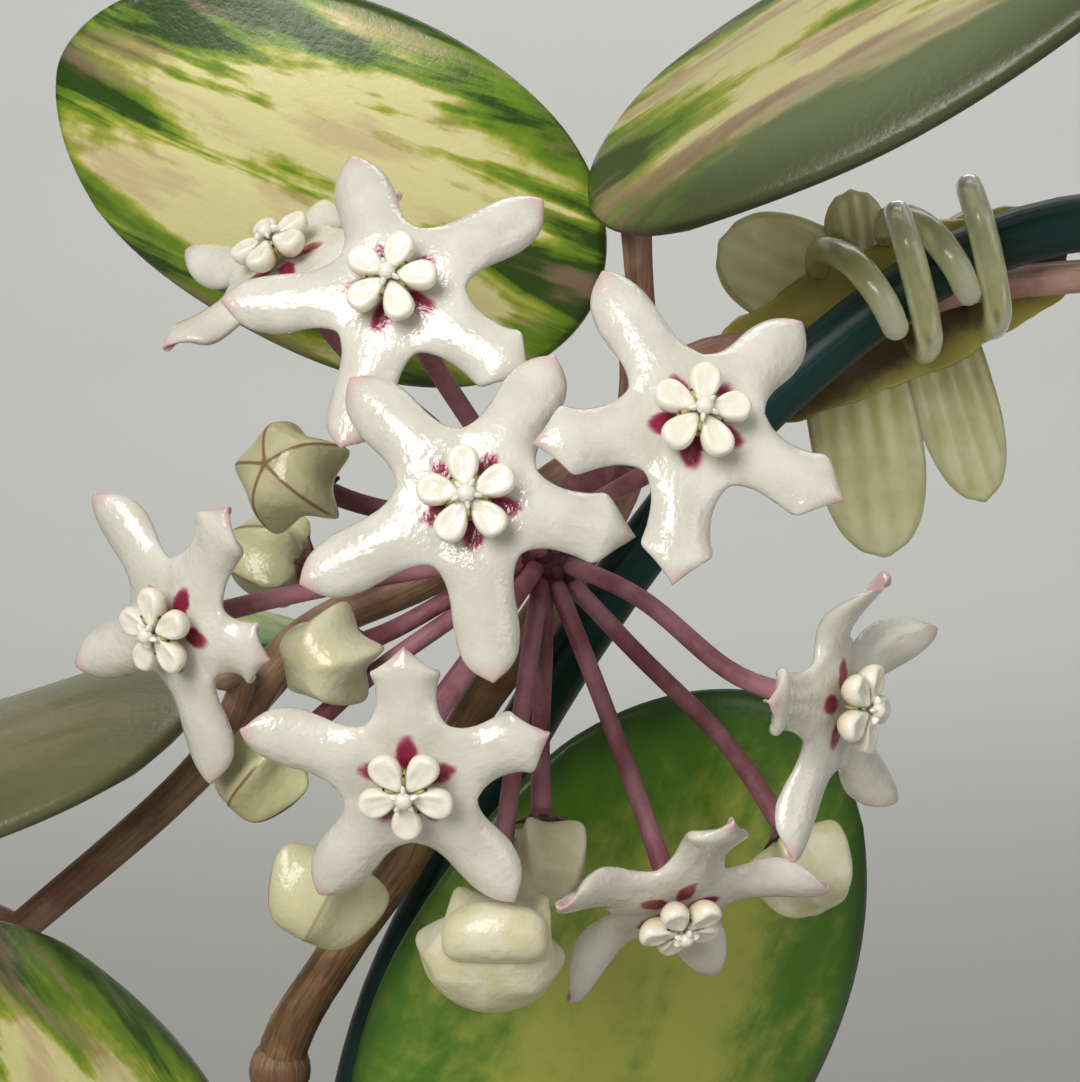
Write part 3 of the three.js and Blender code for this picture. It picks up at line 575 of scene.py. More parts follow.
for number, bloom in enumerate(BLOOMS, 1):
    flower_crown(number, *bloom[:3])
print("crowns of", len(BLOOMS), "flowers")

# %% [markdown]
# The leaves are thick, like wet leather, and variegated: a dark green margin, a cream middle, and green
# streaks that run with the blade. Where the sun caught them there is a brown-pink blush. Each leaf
# stores its own place across and along the blade, and six shares: how cream, how blushed and how
# streaked it is, which half is dull, how grey it is, and how mottled. So all 24 leaves share one skin,
# and a paler one for their backs.

# %% Leaf skin
def leaf_skin(name, paler):
    material, tree, shader = new_material(name, IOR=1.45, Coat_Weight=0.15, Coat_Roughness=0.2)
    whole, across, seed = stored(tree, "blade", "XZ")
    cream, flushed, streaked = stored(tree, "tone", "XYZ")[1:]
    half, grey, mottled = stored(tree, "shade", "XYZ")[1:]
    apart = add(tree, "CombineXYZ", 0.0, 0.0, add(tree, "Math", seed, 7.3, **TIMES))
    flow = add(tree, "VectorMath", whole, (4.2, 1.4, 0.0), **TIMES)
    flow = add(tree, "VectorMath", flow, apart, **PLUS)
    patches = add(tree, "TexNoise", flow, 0.8, 4.0, 0.55, 2.0, 0.3)
    # How far in from the margin: 1 well inside the blade, 0 on its edge
    flat = add(tree, "VectorMath", whole, (1.0, 1.0, 0.0), **TIMES)
    radius = add(tree, "VectorMath", flat, operation="LENGTH", output="Value")
    inward = add(tree, "MapRange", radius, 1.02, 0.35)
    shift = add(tree, "Math", patches, 2.4, -1.2, **TIMES_PLUS)
    pale = add(tree, "Math", add(tree, "Math", inward, shift, **PLUS), cream, **PLUS)
    midrib = add(tree, "Math", across, operation="ABSOLUTE")
    rib = add(tree, "MapRange", midrib, 0.2, 0.02, **SOFT)
    pale = add(tree, "Math", pale, add(tree, "Math", rib, streaked, **TIMES), operation="SUBTRACT")
    strands = add(tree, "VectorMath", whole, (5.0, 0.8, 0.0), **TIMES)
    strands = add(tree, "VectorMath", strands, apart, **PLUS)
    strands = add(tree, "TexNoise", strands, 0.75, 4.0, 0.6, 2.0, 0.5)
    strands = add(tree, "MapRange", strands, 0.48, 0.64, **SOFT)
    pale = add(tree, "Math", add(tree, "Math", strands, streaked, **TIMES), -1.0, pale, **TIMES_PLUS)
    fine = add(tree, "TexNoise", in_millimetres(tree), 0.55, 4.0, 0.6)
    pale = add(tree, "Math", pale, add(tree, "Math", fine, 0.45, -0.22, **TIMES_PLUS), **PLUS)
    edge = add(tree, "MapRange", pale, -0.12, 0.3, **SOFT)
    green = add(tree, "Mix", edge, "#2c480c", "#6a8a20", **COLOUR)
    ripe = add(tree, "MapRange", pale, 0.28, 0.52, **SOFT)
    lime = add(tree, "Mix", ripe, green, "#a3a93f", **COLOUR)
    palest = add(tree, "MapRange", pale, 0.46, 0.7, **SOFT)
    body = add(tree, "Mix", palest, lime, "#dbd49c", **COLOUR)
    # A mottled leaf has no cream: its middle clouds over from deep green to olive yellow
    cloud = add(tree, "Math", add(tree, "Math", patches, 2.2, -1.1, **TIMES_PLUS), inward, **PLUS)
    cloud = add(tree, "Math", add(tree, "Math", fine, 1.1, -0.55, **TIMES_PLUS), cloud, **PLUS)
    cloudy = add(tree, "MapRange", cloud, 0.1, 1.1, **SOFT)
    olive = add(tree, "Mix", cloudy, "#487616", "#a2a94b", **COLOUR)
    border = add(tree, "MapRange", add(tree, "Math", patches, 0.3, inward, **TIMES_PLUS), 0.4, 0.16, **SOFT)
    olive = add(tree, "Mix", border, olive, "#24440d", **COLOUR)
    body = add(tree, "Mix", mottled, body, olive, **COLOUR)
    # Where the sun caught it, the leaf is blushed in soft spots
    drift = add(tree, "TexNoise", add(tree, "VectorMath", flow, (0, 0, 3.7), **PLUS), 1.3, 3.0)
    spots = add(tree, "Math", add(tree, "MapRange", drift, 0.52, 0.66, **SOFT), flushed, **TIMES)
    colour = add(tree, "Mix", spots, body, "#b28a7c", **COLOUR)
    # The dull half, and the purple streaks along the line where it begins
    lean = add(tree, "Math", across, half, **TIMES)
    lean = add(tree, "Math", drift, 0.5, lean, **TIMES_PLUS)
    dull = add(tree, "MapRange", lean, 0.6, 0.8, **SOFT)
    dull = add(tree, "Math", dull, add(tree, "Math", half, operation="ABSOLUTE"), **TIMES)
    outward = add(tree, "MapRange", radius, 0.6, 0.95, **SOFT)
    deep = add(tree, "Mix", outward, "#63704f", "#3b4824", **COLOUR)
    colour = add(tree, "Mix", dull, colour, deep, **COLOUR)
    off_line = add(tree, "Math", add(tree, "Math", lean, 0.62, operation="SUBTRACT"), operation="ABSOLUTE")
    near = add(tree, "MapRange", off_line, 0.12, 0.0, **SOFT)
    purple = add(tree, "Math", add(tree, "Math", near, patches, **TIMES), half, **TIMES)
    colour = add(tree, "Mix", purple, colour, "#74505c", **COLOUR)
    colour = add(tree, "Mix", grey, colour, "#5c5b40", **COLOUR)
    colour = add(tree, "Mix", paler, colour, "#8b966a", **COLOUR)
    # The skin is finely pebbled, and dull where it is pebbled most
    pebbles = add(tree, "TexNoise", in_millimetres(tree), 2.2, 3.0, 0.6)
    tree.links.new(add(tree, "MapRange", pebbles, 0.3, 0.7, 0.33, 0.45), shader.inputs["Roughness"])
    relief = add(tree, "Math", fine, 1.6, pebbles, **TIMES_PLUS)
    surface(tree, shader, colour, relief, 0.026)
    return material


LEAF_SKIN = leaf_skin("leaf_skin", 0.0)
LEAF_BACK = leaf_skin("leaf_back", 0.6)
print("materials:", LEAF_SKIN.name, LEAF_BACK.name)

# %% [markdown]
# A blade is one flat grid, drawn out to a disc and then to an ellipse. It arches along its length, its
# margins roll down, and the edge waves a little. A wall thickness and one more smoothing make it fleshy.

# %% Leaf table
LEAVES = [
    # base, tip, way the face looks, width, then how cream, how blushed and how streaked
    ((-37.5, -2.1, 296.4), (-74.9, 1.1, 312.2), (-0.16, -0.97, -0.18), 25.8, (0.16, 0.4, 0.6)),
    ((-38.5, -5.8, 302.9), (0.5, -18, 324.5), (-0.56, -0.5, 0.66), 22, (-0.02, 0.6, 0.3)),
    ((-45.4, -5.6, 222.7), (-26.4, -7.3, 269.9), (0.3, -0.94, -0.15), 36, (0.05, 0.0, 0.2)),
    ((-64.9, -5.2, 269.8), (-101.9, -11.6, 256.4), (-0.31, -0.18, 0.93), 24.7, (0.0, 0.7, 0.1)),
    ((-84.2, -12.5, 254.8), (-58.9, -26.2, 223.5), (0.56, -0.49, 0.67), 26.3, (0.0, 0.5, 0.4)),
    ((-61.5, 6.5, 269.3), (-71.5, 30, 267.5), (0.1, 0, 1), 14, (-0.4, 0.0, 0.2)),
    ((-62, 11, 214), (-98, 27, 193), (-0.5, 0.1, 0.85), 33, (0.1, 0.2, 0.3)),
    ((-54, -13, 138), (-72, -52, 122), (-0.3, -0.6, 0.75), 36, (-0.1, 0.0, 0.4)),
    ((-44.5, 9, 130), (-56, 54, 122), (-0.2, 0.5, 0.8), 36, (0.0, 0.3, 0.2)),
    ((-69.5, -7, 177), (-108, -29, 158), (-0.45, -0.35, 0.8), 36, (0.15, 0.2, 0.3)),
    ((-68, 9, 179), (-90, 48, 166), (-0.35, 0.4, 0.85), 34, (-0.15, 0.0, 0.4)),
    ((58, 14, 147), (78, 52, 134), (0.3, 0.4, 0.85), 36, (0.1, 0.3, 0.2)),
    ((66, -7, 167), (98, -36, 148), (0.45, -0.4, 0.8), 35, (0.0, 0.2, 0.6)),
    ((64.5, -13, 183), (84, -51, 168), (0.3, -0.45, 0.85), 34, (-0.2, 0.0, 0.2)),
    ((68, 4, 192), (103, 25, 174), (0.45, 0.15, 0.85), 34, (0.1, 0.4, 0.3)),
    ((46, -10, 232), (30, -42, 240), (-0.1, -0.45, 0.9), 27, (0.0, 0.3, 0.3)),
    ((28, -12, 299), (20, -52, 303), (0, -0.3, 0.95), 30, (0.05, 0.6, 0.4)),
    ((33, 6, 300), (53, 46, 301), (0.15, 0.3, 0.95), 30, (0.0, 0.4, 0.3)),
    ((54, -4, 268), (91, -24, 259), (0.3, -0.4, 0.85), 30, (0.15, 0.5, 0.2)),
    ((53, 13, 265), (75, 47, 250), (0.4, 0.35, 0.85), 30, (-0.05, 0.2, 0.5)),
    ((75, -11, 199), (104, -29, 184), (0.4, -0.4, 0.85), 22, (0.1, 0.7, 0.2)),
    ((36, -54, 133), (74, -72, 119), (0.35, -0.35, 0.85), 34, (0.0, 0.2, 0.4)),
    ((12, -63, 134), (-22, -87, 119), (-0.3, -0.45, 0.85), 34, (-0.1, 0.2, 0.3)),
    ((-110, 3, 220), (-132, 20, 207), (-0.4, 0.1, 0.9), 20, (0.1, 0.7, 0.2)),
]
# For a leaf that isn't plain: which half is dull, how grey it is, how mottled it is
SHADES = {
    2: (1.0, 0.28, 0.0), 3: (0.0, 0.0, 1.0), 4: (0.0, 0.9, 0.0), 5: (0.0, 0.0, 0.15), 6: (0.0, 0.0, 1.0),
}
LEAF_THICKNESS = 1.3
print(len(LEAVES), "leaves")

# %% Leaves
def disc_sheet(columns, rows):
    """A flat disc of radius 1 made from a square grid, so that it has no pole."""
    bm = bmesh.new()
    bmesh.ops.create_grid(bm, x_segments=columns, y_segments=rows, size=1)
    for vert in bm.verts:
        u, v = vert.co.xy
        vert.co = (u * math.sqrt(1 - v * v / 2), v * math.sqrt(1 - u * u / 2), 0)
    return bm


def face_front(bm, front):
    """Turns every face of an open sheet towards the front, as a wall thickness needs."""
    bmesh.ops.recalc_face_normals(bm, faces=bm.faces)
    if sum(face.normal.dot(front) * face.calc_area() for face in bm.faces) < 0:
        bmesh.ops.reverse_faces(bm, faces=bm.faces)


def leaf(number, base, tip, face, width, tones):
    bm = disc_sheet(16, 22)
    blade = bm.verts.layers.float_vector.new("blade")
    tone = bm.verts.layers.float_vector.new("tone")
    shade = bm.verts.layers.float_vector.new("shade")
    base = Vector(base)
    along = Vector(tip) - base
    length = along.length
    along.normalize()
    across = along.cross(Vector(face)).normalized()
    facing = across.cross(along)
    for vert in bm.verts:
        p, q = vert.co.xy
        edge = max(math.hypot(p, q) - 0.5, 0) * 2
        arch = 0.05 * length * (1 - q * q) - 0.09 * width * p * p
        wave = 0.012 * width * edge * math.sin(5 * q + 3 * p + number)
        groove = -0.35 * math.exp(-(p / 0.07) ** 2) * (1 - q * q)
        point = max(q - 0.86, 0) * 1.2 * (1 - min(abs(p) * 4, 1))
        side = p * width * (1 - 0.08 * q) / 2
        vert[blade] = (p, q, number)
        vert[tone] = tones
        vert[shade] = SHADES.get(number, (0, 0, 0))
        up = arch + wave + groove + LEAF_THICKNESS / 2
        vert.co = base + along * (length * (1 + q) / 2 + point) + across * side + facing * up
    face_front(bm, facing)
    materials = [LEAF_SKIN, LEAF_BACK]
    stands_for = [f"leaf_{number}"]
    shape = {"smooth": 1, "wall": LEAF_THICKNESS, "under": 1}
    return finish_piece(bm, f"blade_{number}", materials, "leaf", stands_for, **shape)


for number, row in enumerate(LEAVES, 1):
    leaf(number, *row)
print(len(LEAVES), "blades")

# %% [markdown]
# The old vine is brown and finely cracked, and its young end is smooth and pink. The stalk of each leaf
# is a paler brown. One bark material reads how young the stem is from its skin map.

# %% Bark and stalk finishes
def vine_bark():
    material, tree, shader = new_material("vine_bark", Roughness=0.5, IOR=1.42, Coat_Weight=0.1)
    whole, young = stored(tree, "skin", "Z")
    place = in_millimetres(tree)
    patches = add(tree, "TexNoise", place, 0.25, 4.0, 0.6)
    blend = add(tree, "MapRange", patches, 0.38, 0.64, **SOFT)
    brown = add(tree, "Mix", blend, "#694b31", "#8f6f4d", **COLOUR)
    # Cracks run along the stem, a quarter of a millimetre apart
    cracks = add(tree, "TexNoise", add(tree, "VectorMath", whole, (0.35, 3.5, 1), **TIMES), 1.0, 4.0)
    dark = add(tree, "MapRange", cracks, 0.52, 0.36, 0.0, 0.55, **SOFT)
    cracked = add(tree, "Mix", dark, brown, "#3d291c", **COLOUR)
    tender = add(tree, "Mix", blend, "#b28276", "#cda79b", **COLOUR)
    colour = add(tree, "Mix", young, cracked, tender, **COLOUR)
    surface(tree, shader, colour, cracks, 0.12)
    return material


def stalk_skin():
    material, tree, shader = new_material(
        "flower_stalk_skin", Roughness=0.5, IOR=1.4, Subsurface_Weight=0.15, Subsurface_Scale=0.5 * MM,
    )
    deep = stored(tree, "skin", "Z")[1]
    place = in_millimetres(tree)
    patches = add(tree, "TexNoise", place, 0.3, 3.0)
    blend = add(tree, "MapRange", patches, 0.35, 0.65, **SOFT)
    pink = add(tree, "Mix", blend, "#8f5562", "#b98391", **COLOUR)
    # The dark plum is partly the stalks' own colour and partly painted shade on the stalks that lie in
    # shadow
    colour = add(tree, "Mix", deep, pink, "#43191f", **COLOUR)
    # The stalks are covered in tiny blunt bumps, three to the millimetre
    surface(tree, shader, colour, add(tree, "TexNoise", place, 3.0, 2.0), 0.08)
    return material


VINE_BARK = vine_bark()
STALK_SKIN = stalk_skin()
print("materials:", VINE_BARK.name, STALK_SKIN.name)

# %% Stem routes
MAIN_VINE = [
    (-36, -8, 84), (-36, -8, 101), (-44.6, -3.4, 118.4), (-51.4, -4.4, 136.1), (-58.6, -3.1, 155.6),
    (-62, 0.7, 176), (-60.2, 4.1, 194.6), (-55, 3.6, 209.7), (-53.2, -2, 221), (-56.2, -5, 231),
    (-60.2, -5.1, 241.5), (-55.8, -4.8, 250.3), (-50.8, -4, 257.3), (-46.8, -3.2, 266.4),
    (-41.9, -3.2, 273.6), (-39.3, -3.2, 277.9), (-36.5, -3, 281.9), (-34.7, -2.4, 286.5),
    (-32.2, -1.2, 291), (-29.4, 0.9, 292.2), (-23, 4, 292.3), (-17.1, 4.2, 294.4), (-12.3, 3.7, 296.4),
    (-6, 2.8, 297.3), (1, 1, 297.7), (9.8, -2.3, 296.4), (16.8, -4, 295.7), (27.3, -3.2, 290.9),
    (37.1, 0, 281.4), (43.3, 3, 269.4), (46.6, 3.9, 256.5), (50, 2, 242.8), (52.7, -2.6, 231.5),
    (58.1, -4.2, 221.3), (63, -3.4, 211), (67, -5, 201), (69, -8, 192),
]
SIDE_BRANCH = [
    (-35.6, -2.6, 286.2), (-40.2, -2.7, 283.8), (-48.6, -2.8, 277.4), (-58.6, -1.7, 272.2),
    (-65.8, -2.3, 262.9), (-78.1, -3.2, 252), (-92.8, -1.4, 239.5), (-102, -1, 224), (-106, -3, 207),
]
SECOND_VINE = [
    (38, 7, 84), (38, 7, 101), (44.4, 3.4, 116.4), (50.6, 4.6, 132.1), (57.9, 3.9, 149.7), (61.2, 0, 167.3),
    (61, -3.3, 183.1), (57.9, -4.2, 199.3), (54.3, -2.6, 213), (51, -1, 226),
]
BASE_SHOOT = [(8, -24, 84), (8, -24, 101), (13, -34, 118), (21, -50, 129), (30, -66, 126), (36, -77, 114)]
VINE_NODES = [((-60.2, -5.1, 241.5), 2.4), ((-34.7, -2.6, 286.6), 2.5), ((-53.4, -1.4, 219.6), 2.1)]
BRANCH_NODES = [((-64, -2.2, 265.3), 2)]
JOINT_SPACING = 34
STALK_ROOTS = {
    "main_vine": {
        1: (-35.2, -2.6, 288), 2: (-33.8, -2, 288.5), 3: (-53.3, -1.6, 220), 7: (-55, 3.6, 209.7),
        8: (-49.5, -4.2, 131), 9: (-44.8, -3.3, 119.5), 10: (-61.7, -0.3, 171), 11: (-61.9, 0.2, 173),
        17: (27.3, -3.2, 290.9), 18: (28.5, -3, 290.3), 19: (45.5, 3.7, 261), 20: (46, 3.9, 259),
        21: (68, -6.6, 196.5), 4: (-64, -2.2, 265.3), 5: (-79, -3.2, 251.3), 6: (-64, -2.2, 265.3),
        24: (-103.5, -1.5, 218),
    },
    "second_vine": {
        12: (54, 3.9, 141), 13: (60.2, 1.6, 162), 14: (61, -3.2, 181), 15: (60.5, -3.5, 186),
        16: (51.4, -1.2, 224),
    },
    "base_shoot": {22: (24, -55, 129), 23: (24, -55, 129)},
}
STALK_KNEES = {1: (-35.4, -3, 293), 2: (-34.8, -4.2, 297)}
STALK_ENDS = {2: (-35.3, -6, 303.2)}
print("vine:", round(length_of(smooth_path(MAIN_VINE, 200))), "mm long")

# %% Stems
def leaf_stalk(number, root):
    base, tip = (Vector(point) for point in LEAVES[number - 1][:2])
    inward = (tip - base).normalized()
    end = Vector(STALK_ENDS.get(number) or base - inward * 0.45)
    knee = STALK_KNEES.get(number) or end - inward * 0.42 * (end - Vector(root)).length
    return rod([root, knee, end], lambda share: 1.15 - 0.2 * math.sin(math.pi * share), 12, 16, kind=0.35)


def knuckled(radius_at, length, spacing):
    """A stem's radius swells a little at its joints, one every spacing millimetres."""
    def swollen(share):
        from_joint = (share * length / spacing + 0.5) % 1 - 0.5
        return radius_at(share) * (1 + 0.12 * math.exp(-from_joint ** 2 * 90))
    return swollen


def stem(bm, path, radius_at, rings, kind_at, joints, roots):
    length = length_of(smooth_path(path, 100))
    skin_rod = rod(path, knuckled(radius_at, length, JOINT_SPACING), 16, rings)
    layer = skin_rod.verts.layers.float_vector["skin"]
    for vert in skin_rod.verts:
        run, around = vert[layer].xy
        vert[layer] = (run, around, kind_at(run / length))
    join(bm, skin_rod)
    for place, radius in joints:
        joint = placed_sphere(place, radius * 0.93, 0.1, 18)
        for vert in joint.verts:
            vert.co += vert.normal * 0.18 * noise.noise(vert.co * 1.1)
        join(bm, joint)
    for number, root in roots.items():
        join(bm, leaf_stalk(number, root))


def vine_radius(share):
    return 1.55 - 0.7 * max(0, (share - 0.45) / 0.55) ** 0.6


def old_to_young(share):
    return min(max((share - 0.5) / 0.1, 0), 1)


def branch_radius(share):
    return 1.5 - 0.6 * share


stems = new_mesh("skin")[0]
stem(stems, MAIN_VINE, vine_radius, 260, old_to_young, VINE_NODES, STALK_ROOTS["main_vine"])
stem(stems, SIDE_BRANCH, branch_radius, 80, lambda share: 0.15 + 0.6 * share ** 2, BRANCH_NODES, {})
finish_piece(stems, "vine_and_branch", [VINE_BARK], "vine_bark", ["main_vine"])
for node, route in (("second_vine", SECOND_VINE), ("base_shoot", BASE_SHOOT)):
    stems = new_mesh("skin")[0]
    stem(stems, route, branch_radius, 90, lambda share: 0.7 * share ** 2, [], STALK_ROOTS[node])
    finish_piece(stems, node + "_skin", [VINE_BARK], "vine_bark", [node])
print("stems made")

# %% [markdown]
# All the flowers spring from one knobbly head on a short peduncle. Each has a thin pink stalk that bends
# round behind the flower and ends in a calyx of five small pointed sepals.

# %% Buds table
BUDS = [
    # middle, way it looks, roll, radius, half height, how cream, whether it is about to open
    ((-56.6, -26, 287.6), (-26, 21), 36, 3.6, 2.8, 0.1, False),
    ((-59, -17, 281), (-105, 10), 50, 3.2, 2.5, 0.35, False),
    ((-54.8, -22.5, 275.6), (-35, -5), 10, 3.4, 2.6, 0.8, False),
    ((-59.2, -21.5, 267.6), (-75, -45), 30, 3.1, 2.6, 0.1, False),
    ((-54.9, -27, 261.6), (-60, -60), 26, 3.9, 2.8, 0.5, False),
    ((-44.5, -30, 259.5), (-3, -22), 45, 4.9, 3, 1.0, True),
    ((-41.3, -21.5, 262), (5, -50), 40, 3.3, 2.6, 0.9, False),
    ((-24, -15.5, 259.5), (40, -50), 0, 3.8, 2.7, 1.0, False),
]
UMBEL = Vector((-41.3, -14.4, 280.6))
HEAD_RADIUS = 2.3
KNOBS = 46
PEDUNCLE = [(-36.4, -4.9, 286), (-38, -8, 285), (-40.4, -12, 282.6), tuple(UMBEL)]
print(len(BUDS), "buds")

# %% Umbel stalks
def sepals(frame_there, depth):
    """Five small pointed sepals that hug the back of a flower."""
    bm = new_mesh("skin")[0]
    for fifth in range(5):
        sepal, sepal_skin = new_mesh("skin")
        bmesh.ops.create_cone(sepal, cap_ends=True, segments=8, radius1=0.62, radius2=0.12, depth=1.9)
        bmesh.ops.scale(sepal, vec=(1, 0.4, 1), verts=sepal.verts)
        turned(sepal, -68, "X")
        bmesh.ops.translate(sepal, vec=(0, 1.05, -depth - 0.25), verts=sepal.verts)
        turned(sepal, FIFTH * fifth)
        for vert in sepal.verts:
            vert[sepal_skin] = (vert.co.z, fifth, 0.75)
        join(bm, sepal)
    cup, cup_skin = new_mesh("skin")
    bmesh.ops.create_cone(cup, cap_ends=True, segments=12, radius1=0.6, radius2=1.25, depth=0.9)
    bmesh.ops.translate(cup, vec=(0, 0, -depth - 0.6), verts=cup.verts)
    for vert in cup.verts:
        vert[cup_skin] = (vert.co.z, 0, 0.6)
    join(bm, cup)
    bm.transform(frame_there)
    return bm


def flower_stalk(middle, look, depth, deep):
    there = head_frame(middle, look)
    facing = there.to_3x3() @ Vector((0, 0, 1))
    end = Vector(middle) - facing * depth
    reach = (end - UMBEL).length
    first = UMBEL.lerp(end, 0.35) + Vector((0, -0.05 * reach, 0.03 * reach))
    second = (end - facing * 0.28 * reach).lerp(UMBEL.lerp(end, 0.7), 0.45)
    path = [UMBEL, first, second, end - facing * 0.6]
    thick = rod(path, lambda share: 0.6 + 0.12 * share ** 6, 12, 24, (False, False), deep)
    return thick, sepals(there, depth)


umbel = new_mesh("skin")[0]
join(umbel, rod(PEDUNCLE, lambda share: 1.35, 14, 14, kind=0.5))
random.seed(5)
for knob in range(KNOBS):
    level = random.uniform(-1, 1)
    turn = random.uniform(0, 2 * math.pi)
    flat = math.sqrt(1 - level * level)
    out = Vector((flat * math.cos(turn), flat * math.sin(turn), level))
    join(umbel, placed_sphere(UMBEL + out * 1.9, random.uniform(0.55, 0.85), 0.95, 8))
join(umbel, placed_sphere(UMBEL, HEAD_RADIUS, 1.0, 16))
# How dark each stalk is: partly its own colour, partly painted shade for the stalks that lie in shadow
for middle, look, *rest in BLOOMS:
    join(umbel, *flower_stalk(middle, look, 1.15, 0.15 if middle[2] > 270 else 0.35))
for middle, look, roll, radius, height, *rest in BUDS:
    join(umbel, *flower_stalk(middle, look, height + 0.1, 0.7 if middle[2] > 285 else 0.3))
finish_piece(umbel, "umbel_and_stalks", [STALK_SKIN], "flower_stalk", ["umbel_stalks"])
print("stalks of", len(BLOOMS) + len(BUDS), "heads")

# %% [markdown]
# A closed bud is a puffed star: its five seams run from the middle to five points that bend back, and the
# skin is a soft dome between them. The largest one is about to open: it is creamier, its petals swell
# into cushions, and one of them still lies folded over its top. Each vertex keeps its distance from the
# nearest seam, where a young bud has a brown line.

# %% Bud skin
def bud_skin():
    material, tree, shader = new_material(
        "bud_skin", Roughness=0.33, IOR=1.45, Coat_Weight=0.3, Coat_Roughness=0.12,
        Subsurface_Weight=0.3, Subsurface_Radius=(1.0, 0.9, 0.5), Subsurface_Scale=0.9 * MM,
    )
    seam, level, cream = stored(tree, "bud", "XYZ")[1:]
    place = in_millimetres(tree)
    patches = add(tree, "MapRange", add(tree, "TexNoise", place, 0.4, 3.0), 0.35, 0.65, **SOFT)
    green = add(tree, "Mix", patches, "#b0b384", "#c6c59e", **COLOUR)
    milk = add(tree, "Mix", patches, "#ddd8c0", "#cfc9a6", **COLOUR)
    body = add(tree, "Mix", cream, green, milk, **COLOUR)
    # A pinkish tan spreads from the seams over the top, and the seam itself is a thin brown line
    young = add(tree, "MapRange", cream, 0.75, 0.25, **SOFT)
    top = add(tree, "Math", add(tree, "MapRange", level, 0.0, 0.5, **SOFT), young, **TIMES)
    tan = add(tree, "Math", add(tree, "MapRange", seam, 1.2, 0.0, 0.0, 0.4, **SOFT), top, **TIMES)
    body = add(tree, "Mix", tan, body, "#a08a70", **COLOUR)
    line = add(tree, "MapRange", seam, 0.17, 0.04, 0.0, 0.85, **SOFT)
    front = add(tree, "Math", add(tree, "MapRange", level, -0.1, 0.25, **SOFT), young, **TIMES)
    line = add(tree, "Math", line, front, **TIMES)
    colour = add(tree, "Mix", line, body, "#6b4a30", **COLOUR)
    surface(tree, shader, colour, add(tree, "TexNoise", place, 1.8, 2.0), 0.08)
    return material


BUD_SKIN = bud_skin()
print("material:", BUD_SKIN.name)

# %% Buds
def folded_petal(radius, cream):
    """A cushion over the top of a bud, square at its sides and sagging a little in its middle."""
    bm, skin = new_mesh("bud")
    bmesh.ops.create_uvsphere(bm, u_segments=28, v_segments=16, radius=1)
    for vert in bm.verts:
        side, up, out = vert.co
        full = max(1 - abs(side) ** 2.6, 0) ** 0.3 / max(1 - side * side, 1e-4) ** 0.5
        sag = 0.1 * side * side - 0.05
        vert.co = (0.66 * side + 0.08, 0.38 * up * full - sag + 0.5, 0.36 * out * full + 0.34)
        vert.co *= radius
        vert[skin] = (2, 0, cream)
    bmesh.ops.recalc_face_normals(bm, faces=bm.faces)
    return bm


def bud(number, middle, look, roll, radius, height, cream, opening):
    bm, layer = new_mesh("bud")
    bmesh.ops.create_uvsphere(bm, u_segments=60, v_segments=24, radius=1)
    turn = math.radians(roll)
    swell, groove = (0.14, 0.13) if opening else (0.02, 0.05)
    for vert in bm.verts:
        latitude = math.asin(min(max(vert.co.z, -1), 1))
        angle = math.atan2(vert.co.y, vert.co.x)
        from_seam = abs(math.sin(2.5 * angle))
        arm = (1 - from_seam) ** 1.25
        valley = (1 - from_seam) ** 3.5
        front = math.exp(-((latitude - 0.45) / 0.45) ** 2)
        level = math.cos(latitude)
        spread = level ** 0.7 * (0.7 + 0.35 * arm) + (swell * from_seam - groove * valley) * front
        rise = math.copysign(abs(math.sin(latitude)) ** 0.9, latitude)
        lift = height * (rise - groove * valley * front - 0.38 * arm * level ** 3)
        reach = spread * radius
        vert[layer] = (from_seam * reach / 2.5, math.sin(latitude), cream)
        vert.co = (reach * math.cos(angle + turn), reach * math.sin(angle + turn), lift)
        if opening:
            vert.co.y *= 1 - 0.3 * min(max(vert.co.y / radius, 0) * 3, 1)
    if opening:
        join(bm, folded_petal(radius, cream))
    bmesh.ops.recalc_face_normals(bm, faces=bm.faces)
    bm.transform(head_frame(middle, look))
    return finish_piece(bm, f"bud_skin_{number}", [BUD_SKIN], "bud", [f"bud_{number}"], smooth=1)


for number, row in enumerate(BUDS, 1):
    bud(number, *row)
print(len(BUDS), "buds made")

# %% [markdown]
# The hoop is one steel rod in a dark green plastic coat. The coat has a soft gloss and is drawn over the
# rod in one long run, so it has faint lines along it and a few dull rubbed spots.

# %% Hoop
def wire_coat():
    material, tree, shader = new_material("green_wire_coat", IOR=1.4)
    whole = stored(tree, "skin")[0]
    drawn = add(tree, "TexNoise", add(tree, "VectorMath", whole, (0.05, 2.4, 1), **TIMES), 1.0, 3.0)
    patches = add(tree, "TexNoise", in_millimetres(tree), 0.12, 4.0)
    shade = add(tree, "MapRange", patches, 0.35, 0.65, **SOFT)
    colour = add(tree, "Mix", shade, "#072522", "#0e3835", **COLOUR)
    rubbed = add(tree, "MapRange", patches, 0.3, 0.7, 0.3, 0.45, **SOFT)
    tree.links.new(rubbed, shader.inputs["Roughness"])
    surface(tree, shader, colour, drawn, 0.05)
    return material


HOOP_SIDE = [
    (46, 58), (46, 70), (46, 81), (46, 92), (46.6, 108), (50.5, 128), (55.5, 156), (58.5, 190), (57.5, 220),
    (53.5, 243), (46, 259), (40.5, 269), (33.9, 279), (25.6, 289), (12.2, 299),
]
HOOP_PATH = [(-x, 0, z) for x, z in HOOP_SIDE] + [(0, 0, 301.7)] + [(x, 0, z) for x, z in HOOP_SIDE[::-1]]
HOOP_RADIUS = 2.0
WIRE_COAT = wire_coat()
hoop = rod(HOOP_PATH, lambda share: HOOP_RADIUS, 24, 200)
finish_piece(hoop, "hoop_coat", [WIRE_COAT], "coated_wire", ["hoop"])
print("hoop rod:", round(length_of(smooth_path(HOOP_PATH, 200))), "mm long")
